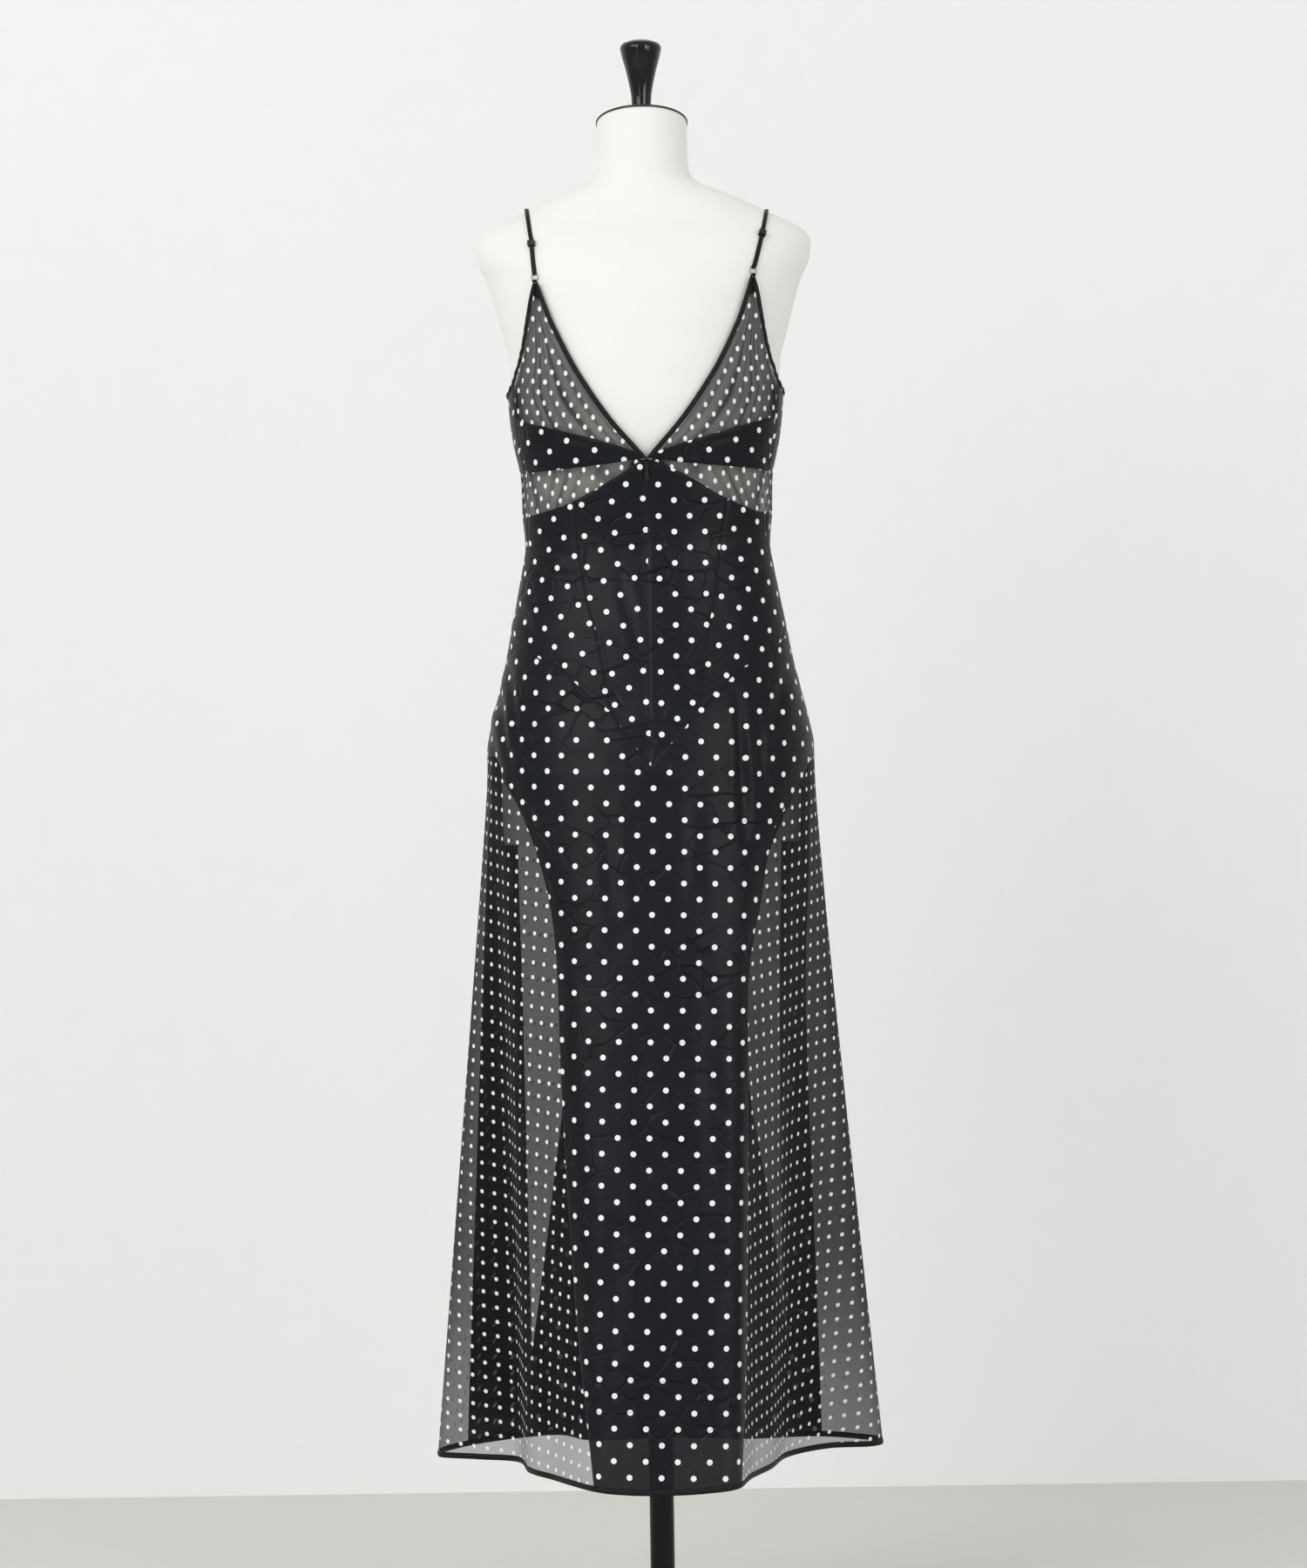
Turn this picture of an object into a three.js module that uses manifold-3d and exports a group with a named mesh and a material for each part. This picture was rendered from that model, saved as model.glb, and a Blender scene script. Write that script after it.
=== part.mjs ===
// A long slip dress on a limbless dress form with a pole stand.
// Millimetres, +Z up. The origin is the centre of the base's underside.
// The back of the dress faces -Y, and +X is on the right of someone who looks at that back.
import * as THREE from "three";
import { mergeVertices } from "three/addons/utils/BufferGeometryUtils.js";
import ManifoldModule from "manifold-3d";

// Driving dimensions of the cloth
const satinWall = 1.2;
const sheerWall = 1.0;
const seamGap = 0.3;
const bindingWidth = 4.6;
const bindingRise = 0.5;
const bindingWall = 2.0;
const squareness = 2.2;
const formSquareness = 2.1;

// Heights of the dress
const hipZ = 960;
const hemZ = 205;
const cornerZ = 984;
const basquePointZ = 969;
const zipTopZ = 1298.6;
const vBottomZ = 1299.3;
const bandInnerZ = 1306.5;
const bandSideZ = 1347;
const underbustSideZ = 1288;
const bodiceSideZ = 1241;
const basqueSideZ = 1120;
const seamTurnZ = 880;

// Tips of the cloth, where the straps' rings hold it behind and the straps are sewn in front
const backApex = { left: { x: 116.6, z: 1490.5 }, right: { x: 116.8, z: 1494 } };
const frontApex = { left: { x: 100, z: 1452 }, right: { x: 100, z: 1452 } };
const apexHalf = 2.45;

// Half width, and depth behind and in front of the axis, of the cloth at each height
const clothSections = [
  { z: 1500, width: 175.5, back: 104, front: 90 },
  { z: 1480, width: 169.5, back: 107.5, front: 98 },
  { z: 1450, width: 160.5, back: 109.5, front: 113 },
  { z: 1410, width: 151.5, back: 109, front: 128 },
  { z: 1370, width: 150, back: 106.5, front: 133 },
  { z: 1340, width: 147.5, back: 103, front: 129 },
  { z: 1320, width: 144.5, back: 99, front: 122 },
  { z: 1282, width: 137, back: 90, front: 106 },
  { z: 1245, width: 136, back: 84, front: 99 },
  { z: 1210, width: 133.4, back: 80.5, front: 96 },
  { z: 1187, width: 136.8, back: 82, front: 97 },
  { z: 1130, width: 147.7, back: 93, front: 103 },
  { z: 1074, width: 159, back: 110, front: 112 },
  { z: 1016, width: 173.5, back: 127, front: 119 },
  { z: 990, width: 178, back: 131, front: 121 },
  { z: hipZ, width: 178, back: 134, front: 123 },
];

// The hem seen from above, at each angle from the centre back, positive towards +X
const hemOutline = [
  { angle: -166, x: -40, y: 196 },
  { angle: -154, x: -84, y: 192 },
  { angle: -146, x: -112, y: 232 },
  { angle: -137, x: -144, y: 216 },
  { angle: -120, x: -197, y: 152 },
  { angle: -103, x: -238, y: 72 },
  { angle: -92, x: -243, y: 22 },
  { angle: -82, x: -200, y: 0 },
  { angle: -74, x: -155, y: -22 },
  { angle: -66, x: -142, y: -98 },
  { angle: -52, x: -115, y: -142 },
  { angle: -34, x: -72, y: -208 },
  { angle: -15, x: -35, y: -220 },
  { angle: 0, x: 0, y: -221 },
  { angle: 22, x: 48, y: -221 },
  { angle: 40, x: 82, y: -210 },
  { angle: 50, x: 96, y: -150 },
  { angle: 58, x: 118, y: -88 },
  { angle: 68, x: 138, y: -6 },
  { angle: 80, x: 184, y: 50 },
  { angle: 92, x: 232, y: 58 },
  { angle: 102, x: 247, y: 86 },
  { angle: 118, x: 229, y: 130 },
  { angle: 136, x: 174, y: 180 },
  { angle: 152, x: 99, y: 180 },
  { angle: 166, x: 46, y: 200 },
  { angle: 180, x: 0, y: 213 },
];
// The hem's height round the dress: level at the back, a little higher at the sides
const hemSideRise = 12;
const hemFrontRise = 5;

// Seams of the back, as distance from the centre at each height, for the left and right sides
const backNeckline = [
  { z: 1440, left: 95, right: 96 },
  { z: 1393, left: 71, right: 72 },
  { z: 1339, left: 34.5, right: 34.5 },
  { z: vBottomZ, left: 0, right: 0 },
];
const bandTop = [
  { z: 1317.5, left: 45, right: 46 },
  { z: 1327.5, left: 79, right: 80 },
  { z: 1337, left: 114, right: 112 },
];
const bandBottom = [
  { z: 1294.5, left: 38, right: 40 },
  { z: 1291.5, left: 70, right: 79 },
  { z: 1289.5, left: 98, right: 108 },
];
const bodiceTop = [
  { z: zipTopZ, left: 0, right: 0 },
  { z: 1296.6, left: 7, right: 8 },
  { z: 1286, left: 24, right: 33 },
  { z: 1274, left: 44, right: 55 },
  { z: 1260.5, left: 69, right: 78 },
  { z: 1251, left: 91, right: 99 },
  { z: 1244.5, left: 116, right: 116 },
];
const princessSeam = [
  { z: 1210, left: 77, right: 79 },
  { z: 1160, left: 69, right: 73 },
  { z: 1117, left: 58, right: 64 },
  { z: 1075, left: 49, right: 57 },
];
const princessTopZ = 1256;
const princessLowZ = 1027;
const basqueSeam = [
  { z: basquePointZ, left: 0, right: 0 },
  { z: 988, left: 15, right: 17 },
  { z: 1007, left: 29, right: 35 },
  { z: princessLowZ, left: 41, right: 49 },
  { z: 1048, left: 68, right: 73 },
  { z: 1074, left: 97, right: 101 },
];
const skirtBackSeam = [
  { z: 982, left: 172, right: 174 },
  { z: 964, left: 158, right: 168 },
  { z: 942, left: 147.5, right: 154 },
  { z: 910, left: 134, right: 133 },
  { z: 880, left: 122, right: 125 },
  { z: 820, left: 109, right: 115 },
  { z: 764, left: 104, right: 102 },
  { z: 646, left: 101, right: 99 },
  { z: 500, left: 95, right: 97 },
  { z: 354, left: 85, right: 93 },
  { z: hemZ, left: 71, right: 85 },
];

// Seams of the front, in the same columns
const frontNeckline = [
  { z: 1388, left: 62, right: 62 },
  { z: 1348, left: 29, right: 29 },
  { z: 1322, left: 0, right: 0 },
];
const frontPrincessSeam = [
  { z: 1190, left: 74, right: 74 },
  { z: 1110, left: 60, right: 60 },
];
const frontBasqueSeam = [
  { z: basquePointZ, left: 0, right: 0 },
  { z: 1000, left: 25, right: 25 },
  { z: princessLowZ, left: 45, right: 45 },
  { z: 1062, left: 86, right: 86 },
  { z: 1100, left: 130, right: 130 },
];
const skirtFrontSeam = [
  { z: cornerZ, left: 171, right: 171 },
  { z: 962, left: 160, right: 160 },
  { z: 940, left: 148, right: 146 },
  { z: 910, left: 134, right: 132 },
  { z: 860, left: 116, right: 114 },
  { z: 764, left: 101, right: 99 },
  { z: 646, left: 100, right: 100 },
  { z: 500, left: 117, right: 122 },
  { z: 400, left: 131, right: 136 },
  { z: 300, left: 146, right: 146 },
  { z: hemZ, left: 157, right: 157 },
];
const insetOuterSeam = [
  { z: 900, left: 149, right: 144 },
  { z: 700, left: 147, right: 140 },
  { z: 400, left: 145, right: 139 },
];
const insetTopZ = 940;
const insetBottomZ = 312;
const insetEndTrim = 0.06;

// Seams given by their angle from the centre back in degrees, at each height
const sideSeam = [
  { z: 1400, left: 74, right: 74 },
  { z: 1290, left: 76, right: 76 },
  { z: 1241, left: 78, right: 77 },
  { z: 1180, left: 85, right: 84 },
  { z: 1120, left: 91, right: 91 },
  { z: cornerZ, left: 98, right: 98 },
  { z: 900, left: 100, right: 106 },
  { z: 712, left: 105, right: 120 },
  { z: 500, left: 109, right: 127 },
  { z: hemZ, left: 113, right: 134 },
];
const armholeSideZ = 1381;
const armhole = [
  { angle: 62, z: 1443 },
  { angle: 69, z: 1410 },
  { angle: 77, z: 1386 },
  { angle: 88, z: 1377 },
  { angle: 100, z: 1382 },
  { angle: 116, z: 1410 },
];
const cupCentreZ = 1302;
const frontBodiceCentreZ = 1299.5;
const frontPrincessAngle = 140;
const frontPrincessTopZ = 1254;

// Soft gathers: how many, and how far they stand proud
const gathers = {
  upperSheer: { waves: 7, rise: 1.5 },
  lowerSheer: { waves: 5, rise: 0.8 },
  midriff: { waves: 10, rise: 1.2 },
};

// Driving dimensions of the straps and their metal
const strapWidth = 4.4;
const strapThick = 1.0;
const strapClear = 0.3;
const ringRadius = 3.75;
const ringWire = 0.5;
const ringAboveApex = 6;
const strapPlaces = {
  left: { sliderX: 119.7, sliderZ: 1533, topX: 126 },
  right: { sliderX: 127.4, sliderZ: 1541, topX: 134 },
};
const sliderSize = { width: 7.6, height: 6.4, wall: 0.8 };
const strapLift = 1;
const strapEndHeight = 3.4;
const strapEndAbove = 0.35;
const shoulderRows = 7;
const turnCentre = 3.0;
const turnSteps = 6;
const ringSides = { wire: 6, round: 14 };

// The zip's slider: plate, cheeks and pin, as sizes across, along and out from the cloth
const zipSlider = { centreZ: 1292.5, width: 5, length: 9, thick: 0.9, cheekWide: 0.9, pinRadius: 0.6 };
const zipStandOff = 0.8;
const zipPinAlong = 2.5;
const zipEyeRadius = 1.6;
const zipClear = 0.35;
const pullTab = { length: 19, width: 5.6, neckWidth: 2.5, neckLength: 8, wideAt: 14, thick: 1.2 };
const roundSides = 16;

// Half width, and depth behind and in front of the axis, of the form at each height
const formSections = [
  { z: 1682, width: 49, back: 50, front: 47 },
  { z: 1640, width: 49.5, back: 50.5, front: 47 },
  { z: 1616, width: 51, back: 53, front: 48 },
  { z: 1604, width: 62, back: 55, front: 49 },
  { z: 1594, width: 88, back: 57, front: 50 },
  { z: 1582, width: 116, back: 60, front: 51 },
  { z: 1570, width: 139, back: 64, front: 53 },
  { z: 1560, width: 161, back: 68, front: 56 },
  { z: 1550, width: 176, back: 75, front: 60 },
  { z: 1538, width: 183, back: 84, front: 66 },
  { z: 1520, width: 181, back: 93, front: 76 },
  { z: 1499, width: 171.5, back: 100, front: 87 },
  { z: 1476, width: 164.5, back: 104, front: 96 },
  { z: 1442, width: 155.5, back: 105.5, front: 113 },
  { z: 1410, width: 147.5, back: 105, front: 123 },
  { z: 1370, width: 145, back: 102, front: 128 },
  { z: 1330, width: 141, back: 95, front: 119 },
  { z: 1282, width: 127, back: 79, front: 96 },
  { z: 1230, width: 117, back: 70, front: 84 },
  { z: 1180, width: 125, back: 76, front: 86 },
  { z: 1130, width: 138.5, back: 86, front: 94 },
  { z: 1080, width: 150.5, back: 103, front: 104 },
  { z: 1030, width: 162, back: 117.5, front: 110.5 },
  { z: 930, width: 163, back: 122, front: 111 },
  { z: 886, width: 161, back: 119, front: 108 },
];
const formSegments = 28;
const discThick = 2.7;
const discRadius = 50;
// The neck is cut on a slant, highest at the back: the fall per mm from back to front
const neckSlant = { fall: 0.26, fromZ: 1620 };
const finialProfile = [
  { radius: 10, above: 0 },
  { radius: 11, above: 14 },
  { radius: 16, above: 40 },
  { radius: 22, above: 63 },
  { radius: 22.6, above: 67 },
  { radius: 20.5, above: 71.5 },
  { radius: 12, above: 75.3 },
];
const finialHeight = 76.4;
const finialSegments = 20;
const poleRadius = 13.3;
const poleSegments = 24;
const basePlate = { radius: 180, thick: 12, bevel: 3, collarRadius: 24, collarTop: 44 };
const baseSegments = 36;

// Colours and finishes
const finishes = {
  satin: { color: 0x25282d, roughness: 0.55, metalness: 0 },
  sheer: { color: 0x5c605f, roughness: 0.85, metalness: 0 },
  trim: { color: 0x15171a, roughness: 0.6, metalness: 0 },
  silver: { color: 0xd8d8d6, roughness: 0.2, metalness: 1 },
  blackPlastic: { color: 0x101113, roughness: 0.35, metalness: 0 },
  blackMetal: { color: 0x16181a, roughness: 0.3, metalness: 0.6 },
  formCloth: { color: 0xf0ede5, roughness: 0.9, metalness: 0 },
  blackGloss: { color: 0x0b0c0d, roughness: 0.12, metalness: 0 },
};

const sides = { left: -1, right: 1 };
const part = new THREE.Group();
part.name = "slip_dress_on_form";

function addMesh(name, geometry, finish) {
  const mesh = new THREE.Mesh(geometry, new THREE.MeshStandardMaterial(finishes[finish]));
  mesh.name = name;
  part.add(mesh);
  return mesh;
}

// Smooth value of one column at a place between the rows, with no overshoot at a turn
function smoothColumn(rows, by, key, at) {
  const up = rows[0][by] < rows[rows.length - 1][by];
  const sorted = up ? rows : [...rows].reverse();
  const last = sorted.length - 1;
  if (at <= sorted[0][by]) return sorted[0][key];
  if (at >= sorted[last][by]) return sorted[last][key];
  const i = sorted.findIndex((row) => row[by] > at) - 1;
  const slope = (k) => (sorted[k + 1][key] - sorted[k][key]) / (sorted[k + 1][by] - sorted[k][by]);
  const tangent = (k) => {
    if (k === 0) return slope(0);
    if (k === last) return slope(last - 1);
    const before = slope(k - 1);
    const after = slope(k);
    return before * after <= 0 ? 0 : (2 * before * after) / (before + after);
  };
  const span = sorted[i + 1][by] - sorted[i][by];
  const share = (at - sorted[i][by]) / span;
  return hermite(sorted[i][key], sorted[i + 1][key], tangent(i) * span, tangent(i + 1) * span, share);
}

function hermite(from, to, leave, arrive, share) {
  const s2 = share * share;
  const s3 = s2 * share;
  const blend = 3 * s2 - 2 * s3;
  return from * (1 - blend) + to * blend + leave * (s3 - 2 * s2 + share) + arrive * (s3 - s2);
}

// The same round a closed outline, where the rows' tangents look past both ends
function roundColumn(rows, key, angle) {
  const count = rows.length;
  const turn = 360;
  const at = ((angle - rows[0].angle + 2 * turn) % turn) + rows[0].angle;
  const row = (k) => rows[((k % count) + count) % count];
  const place = (k) => row(k).angle + turn * Math.floor(k / count);
  let i = count - 1;
  while (place(i) > at) i -= 1;
  const tangent = (k) => (row(k + 1)[key] - row(k - 1)[key]) / (place(k + 1) - place(k - 1));
  const span = place(i + 1) - place(i);
  const share = (at - place(i)) / span;
  return hermite(row(i)[key], row(i + 1)[key], tangent(i) * span, tangent(i + 1) * span, share);
}

// A point of a squared oval, where the angle starts at the centre back
function ovalPoint(section, angle, square = squareness) {
  const turn = THREE.MathUtils.degToRad(angle);
  const depth = Math.cos(turn) > 0 ? section.back : section.front;
  const across = Math.abs(Math.sin(turn)) / section.width;
  const along = Math.abs(Math.cos(turn)) / depth;
  const radius = (across ** square + along ** square) ** (-1 / square);
  return { x: radius * Math.sin(turn), y: -radius * Math.cos(turn) };
}

function sectionAt(rows, z) {
  return {
    width: smoothColumn(rows, "z", "width", z),
    back: smoothColumn(rows, "z", "back", z),
    front: smoothColumn(rows, "z", "front", z),
  };
}

// The dress's outer surface: body sections down to the hip, then straight lines to the fluted hem
function clothPoint(angle, z) {
  const body = ovalPoint(sectionAt(clothSections, z), angle);
  const flare = Math.max((hipZ - z) / (hipZ - hemZ), 0);
  const hemX = roundColumn(hemOutline, "x", angle);
  const hemY = roundColumn(hemOutline, "y", angle);
  return new THREE.Vector3(
    body.x + (hemX - body.x) * flare,
    body.y + (hemY - body.y) * flare,
    z,
  );
}

function clothNormal(angle, z) {
  const step = 0.5;
  const around = clothPoint(angle + step, z).sub(clothPoint(angle - step, z));
  const upward = clothPoint(angle, z + step).sub(clothPoint(angle, z - step));
  return around.cross(upward).normalize();
}

function hemHeight(angle) {
  const turn = THREE.MathUtils.degToRad(angle);
  const side = Math.sin(turn) ** 2;
  const front = Math.max(-Math.cos(turn), 0) ** 2;
  return hemZ + hemSideRise * side + hemFrontRise * front;
}

const angleHalvings = 40;

// The angle at which the cloth is so far from the centre plane, on the back or the front
function angleAt(side, distance, z, face) {
  let inner = face === "back" ? 0 : 180 * sides[side];
  let outer = 90 * sides[side];
  for (let i = 0; i < angleHalvings; i += 1) {
    const middle = (inner + outer) / 2;
    if (Math.abs(clothPoint(middle, z).x) < distance) inner = middle;
    else outer = middle;
  }
  return (inner + outer) / 2;
}

// Seams as lists of places on the cloth, each with its angle and height
const curvePoints = 8;
const hemSamples = 120;
const sideSpans = 24;
const easeRounds = 80;

function placesOf(rows, side, face) {
  return rows.map((row) => ({ angle: angleAt(side, row[side], row.z, face), z: row.z }));
}

function smoothed(places) {
  const points = places.map((p) => new THREE.Vector3(p.angle, p.z, 0));
  const curve = new THREE.CatmullRomCurve3(points, false, "centripetal");
  return curve.getPoints((places.length - 1) * curvePoints).map((p) => ({ angle: p.x, z: p.y }));
}

function sideAngle(side, z) {
  return sides[side] * smoothColumn(sideSeam, "z", side, z);
}

function sidePlace(side, z) {
  return { angle: sideAngle(side, z), z };
}

const first = (places) => places[0];
const last = (places) => places[places.length - 1];
const reversed = (places) => [...places].reverse();

function run(from, to, steps) {
  return Array.from({ length: steps + 1 }, (_, i) => ({
    angle: from.angle + ((to.angle - from.angle) * i) / steps,
    z: from.z + ((to.z - from.z) * i) / steps,
  }));
}

// Lists joined end to end, where each starts at the place on which the one before it ends
function joined(...lists) {
  return lists.reduce((all, list) => [...all, ...list.slice(1)]);
}

function lengthsAlong(places) {
  const points = places.map((p) => clothPoint(p.angle, p.z));
  const lengths = [0];
  for (let i = 1; i < points.length; i += 1) {
    lengths.push(lengths[i - 1] + points[i].distanceTo(points[i - 1]));
  }
  return lengths;
}

function between(from, to, share) {
  return { angle: from.angle + (to.angle - from.angle) * share, z: from.z + (to.z - from.z) * share };
}

// So many steps of even real length along a seam
function evenSteps(places, count) {
  const lengths = lengthsAlong(places);
  return Array.from({ length: count + 1 }, (_, k) => {
    const wanted = (last(lengths) * k) / count;
    let i = 1;
    while (i < lengths.length - 1 && lengths[i] < wanted) i += 1;
    const span = lengths[i] - lengths[i - 1];
    return between(places[i - 1], places[i], span > 0 ? (wanted - lengths[i - 1]) / span : 0);
  });
}

// Each step cut into smaller ones, so that a finer grid still meets the coarse one's corners
function refined(places, times) {
  const lists = places.slice(1).map((p, i) => run(places[i], p, times));
  return joined(...lists);
}

// The part of a seam up to, or from, the first place past a limit
function splitWhere(places, key, limit) {
  const value = (p) => (key === "angle" ? Math.abs(p.angle) : p.z);
  const rising = value(last(places)) > value(first(places));
  const i = places.findIndex((p) => (rising ? value(p) >= limit : value(p) <= limit));
  const share = (limit - value(places[i - 1])) / (value(places[i]) - value(places[i - 1]));
  const cut = between(places[i - 1], places[i], share);
  return [[...places.slice(0, i), cut], [cut, ...places.slice(i)]];
}

// A seam moved sideways on the cloth by a width that may change along its length
function shifted(places, widthAt) {
  const lengths = lengthsAlong(places);
  return places.map((p, i) => {
    const before = places[Math.max(i - 1, 0)];
    const after = places[Math.min(i + 1, places.length - 1)];
    const tangent = clothPoint(after.angle, after.z).sub(clothPoint(before.angle, before.z)).normalize();
    const sideways = clothNormal(p.angle, p.z).cross(tangent);
    return movedPlace(p, sideways.multiplyScalar(widthAt(lengths[i], last(lengths))));
  });
}

// The place reached by a small move along the cloth
function movedPlace(p, move) {
  const step = 0.5;
  const here = clothPoint(p.angle, p.z);
  const around = clothPoint(p.angle + step, p.z).sub(here).divideScalar(step);
  const upward = clothPoint(p.angle, p.z + step).sub(here).divideScalar(step);
  const aa = around.dot(around);
  const uu = upward.dot(upward);
  const au = around.dot(upward);
  const ma = move.dot(around);
  const mu = move.dot(upward);
  const below = aa * uu - au * au;
  return { angle: p.angle + (ma * uu - mu * au) / below, z: p.z + (mu * aa - ma * au) / below };
}

// Grid of places between four seams: start and end run up, bottom and top run from start to end
function coonsGrid({ start, end, bottom, top }) {
  const across = bottom.length - 1;
  const up = start.length - 1;
  const mix = (i, j, key) => {
    const u = i / across;
    const v = j / up;
    const sidesPart = start[j][key] * (1 - u) + end[j][key] * u;
    const endsPart = bottom[i][key] * (1 - v) + top[i][key] * v;
    const low = start[0][key] * (1 - u) + end[0][key] * u;
    const high = start[up][key] * (1 - u) + end[up][key] * u;
    return sidesPart + endsPart - low * (1 - v) - high * v;
  };
  return Array.from({ length: across + 1 }, (_, i) =>
    Array.from({ length: up + 1 }, (_, j) => ({ angle: mix(i, j, "angle"), z: mix(i, j, "z") })),
  );
}

// Inner places eased to the mean of their neighbours, for a piece with a corner in the middle of a side
function eased(grid) {
  const places = grid.map((column) => column.map((p) => ({ ...p })));
  const mean = (i, j, key) => {
    const beside = places[i - 1][j][key] + places[i + 1][j][key];
    return (beside + places[i][j - 1][key] + places[i][j + 1][key]) / 4;
  };
  for (let round = 0; round < easeRounds; round += 1) {
    for (let i = 1; i < places.length - 1; i += 1) {
      for (let j = 1; j < places[0].length - 1; j += 1) {
        places[i][j] = { angle: mean(i, j, "angle"), z: mean(i, j, "z") };
      }
    }
  }
  return places;
}

// Area inside four seams, positive where start, bottom and end turn with the outside in view
function loopArea({ start, end, bottom, top }) {
  const loop = [...bottom, ...end, ...reversed(top), ...reversed(start)];
  return loop.reduce((sum, p, i) => {
    const next = loop[(i + 1) % loop.length];
    return sum + (p.angle * next.z - next.angle * p.z) / 2;
  }, 0);
}

// Seams swapped, where needed, so that the grid's outside faces away from the axis
function orderedSeams(seams) {
  if (loopArea(seams) > 0) return seams;
  return {
    start: seams.end,
    end: seams.start,
    bottom: reversed(seams.bottom),
    top: reversed(seams.top),
  };
}

// How far a point on the edge is drawn in from the seam, square to it
function seamMove(grid, i, j) {
  const across = grid.length - 1;
  const up = grid[0].length - 1;
  const here = grid[i][j];
  const move = new THREE.Vector3();
  const drawIn = (inside, before, after) => {
    const along = after.clone().sub(before).normalize();
    const inward = inside.clone().sub(here);
    inward.addScaledVector(along, -inward.dot(along)).normalize();
    move.addScaledVector(inward, seamGap / 2);
  };
  const low = grid[i][Math.max(j - 1, 0)];
  const high = grid[i][Math.min(j + 1, up)];
  const near = grid[Math.max(i - 1, 0)][j];
  const far = grid[Math.min(i + 1, across)][j];
  if (i === 0) drawIn(grid[1][j], low, high);
  if (i === across) drawIn(grid[across - 1][j], low, high);
  if (j === 0) drawIn(grid[i][1], near, far);
  if (j === up) drawIn(grid[i][up - 1], near, far);
  return move;
}

// A closed wall of cloth: outer points, inner points and the four edges between them
function wallGeometry(places, { rise = 0, wall, lift = () => 0 }) {
  const outline = places.map((column) => column.map((p) => clothPoint(p.angle, p.z)));
  const across = places.length - 1;
  const up = places[0].length - 1;
  const points = [];
  places.forEach((column, i) =>
    column.forEach((p, j) => {
      const normal = clothNormal(p.angle, p.z);
      const base = outline[i][j].clone().add(seamMove(outline, i, j));
      const out = rise + lift(i / across, j / up);
      points.push(base.clone().addScaledVector(normal, out));
      points.push(base.clone().addScaledVector(normal, out - wall));
    }),
  );
  return solidGeometry(points, wallFaces(across, up));
}

function wallFaces(across, up) {
  const outside = (i, j) => 2 * (i * (up + 1) + j);
  const inside = (i, j) => outside(i, j) + 1;
  const faces = [];
  const quad = (a, b, c, d) => faces.push(a, b, c, a, c, d);
  for (let i = 0; i < across; i += 1) {
    for (let j = 0; j < up; j += 1) {
      quad(outside(i, j), outside(i + 1, j), outside(i + 1, j + 1), outside(i, j + 1));
      quad(inside(i, j), inside(i, j + 1), inside(i + 1, j + 1), inside(i + 1, j));
    }
    quad(inside(i, 0), inside(i + 1, 0), outside(i + 1, 0), outside(i, 0));
    quad(outside(i, up), outside(i + 1, up), inside(i + 1, up), inside(i, up));
  }
  for (let j = 0; j < up; j += 1) {
    quad(outside(0, j), outside(0, j + 1), inside(0, j + 1), inside(0, j));
    quad(inside(across, j), inside(across, j + 1), outside(across, j + 1), outside(across, j));
  }
  return faces;
}

function solidGeometry(points, faces) {
  const geometry = new THREE.BufferGeometry().setFromPoints(points);
  geometry.setIndex(faces);
  geometry.computeVertexNormals();
  return geometry;
}

function addPanel(name, seams, finish, { gather, ease } = {}) {
  const wall = finish === "sheer" ? sheerWall : satinWall;
  const lift = gather ? gatherLift(gather) : () => 0;
  const grid = coonsGrid(orderedSeams(seams));
  addMesh(name, wallGeometry(ease ? eased(grid) : grid, { wall, lift }), finish);
}

// Gathers fade out at the seams, so that neighbouring pieces still meet
function gatherLift({ waves, rise }) {
  return (u, v) => {
    const fade = Math.sin(Math.PI * Math.min(Math.max(v, 0), 1)) * Math.sqrt(Math.sin(Math.PI * u));
    return -rise * fade * (0.5 - 0.5 * Math.cos(2 * Math.PI * waves * u));
  };
}

// A binding is a strip one step wide between its two edges, a little thicker than the cloth
function addBinding(name, outerEdge, innerEdge) {
  const bottom = [first(outerEdge), first(innerEdge)];
  const top = [last(outerEdge), last(innerEdge)];
  const grid = coonsGrid(orderedSeams({ start: outerEdge, end: innerEdge, bottom, top }));
  addMesh(name, wallGeometry(grid, { rise: bindingRise, wall: bindingWall }), "trim");
}

// Bindings narrow towards a tip, where two of them meet
const taperLength = 26;
const narrowBinding = 2.3;

function bindingWidthAt(fromTip) {
  const share = Math.min(Math.max(fromTip, 0) / taperLength, 1);
  return narrowBinding + (bindingWidth - narrowBinding) * share;
}

function tipPlace(side, apex, face, outward) {
  const { x, z } = apex[side];
  return { angle: angleAt(side, x + outward * apexHalf, z, face), z };
}

// Steps along each seam, which its two pieces share, and how often a finer grid cuts them
const steps = {
  neck: 7,
  armholeBack: 5,
  armholeFront: 8,
  sideUpper: 2,
  sideBand: 3,
  sideMidriff: 2,
  sideBodice: 5,
  hipSide: 3,
  hipCurve: 4,
  skirt: 10,
  band: 9,
  centreBodice: 4,
  frontHalf: 4,
  cupCentre: 2,
  cupNeck: 11,
  backHem: 20,
  hemBelowInset: 2,
  inset: 8,
  aboveTurn: 2,
  insetAcross: 4,
  sideFront: 3,
  cornerArc: 2,
};
const finer = { upperSheer: 3, lowerSheer: 3, midriff: 4, princess: 2, cornerArc: 9 };

// The back neckline from the ring down to the zip, with the binding's inner edge below it
function backNeck(side) {
  const tip = tipPlace(side, backApex, "back", -1);
  const outer = smoothed([tip, ...placesOf(backNeckline, side, "back")]);
  const whole = shifted(outer, (at) => sides[side] * bindingWidthAt(at));
  const [inner] = splitWhere(whole, "z", vBottomZ);
  const [upper, lower] = splitWhere(inner, "z", bandInnerZ);
  return {
    outer: evenSteps(outer, steps.neck + 1),
    upper: evenSteps(upper, steps.neck),
    lower: evenSteps(lower, 1),
  };
}

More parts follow.
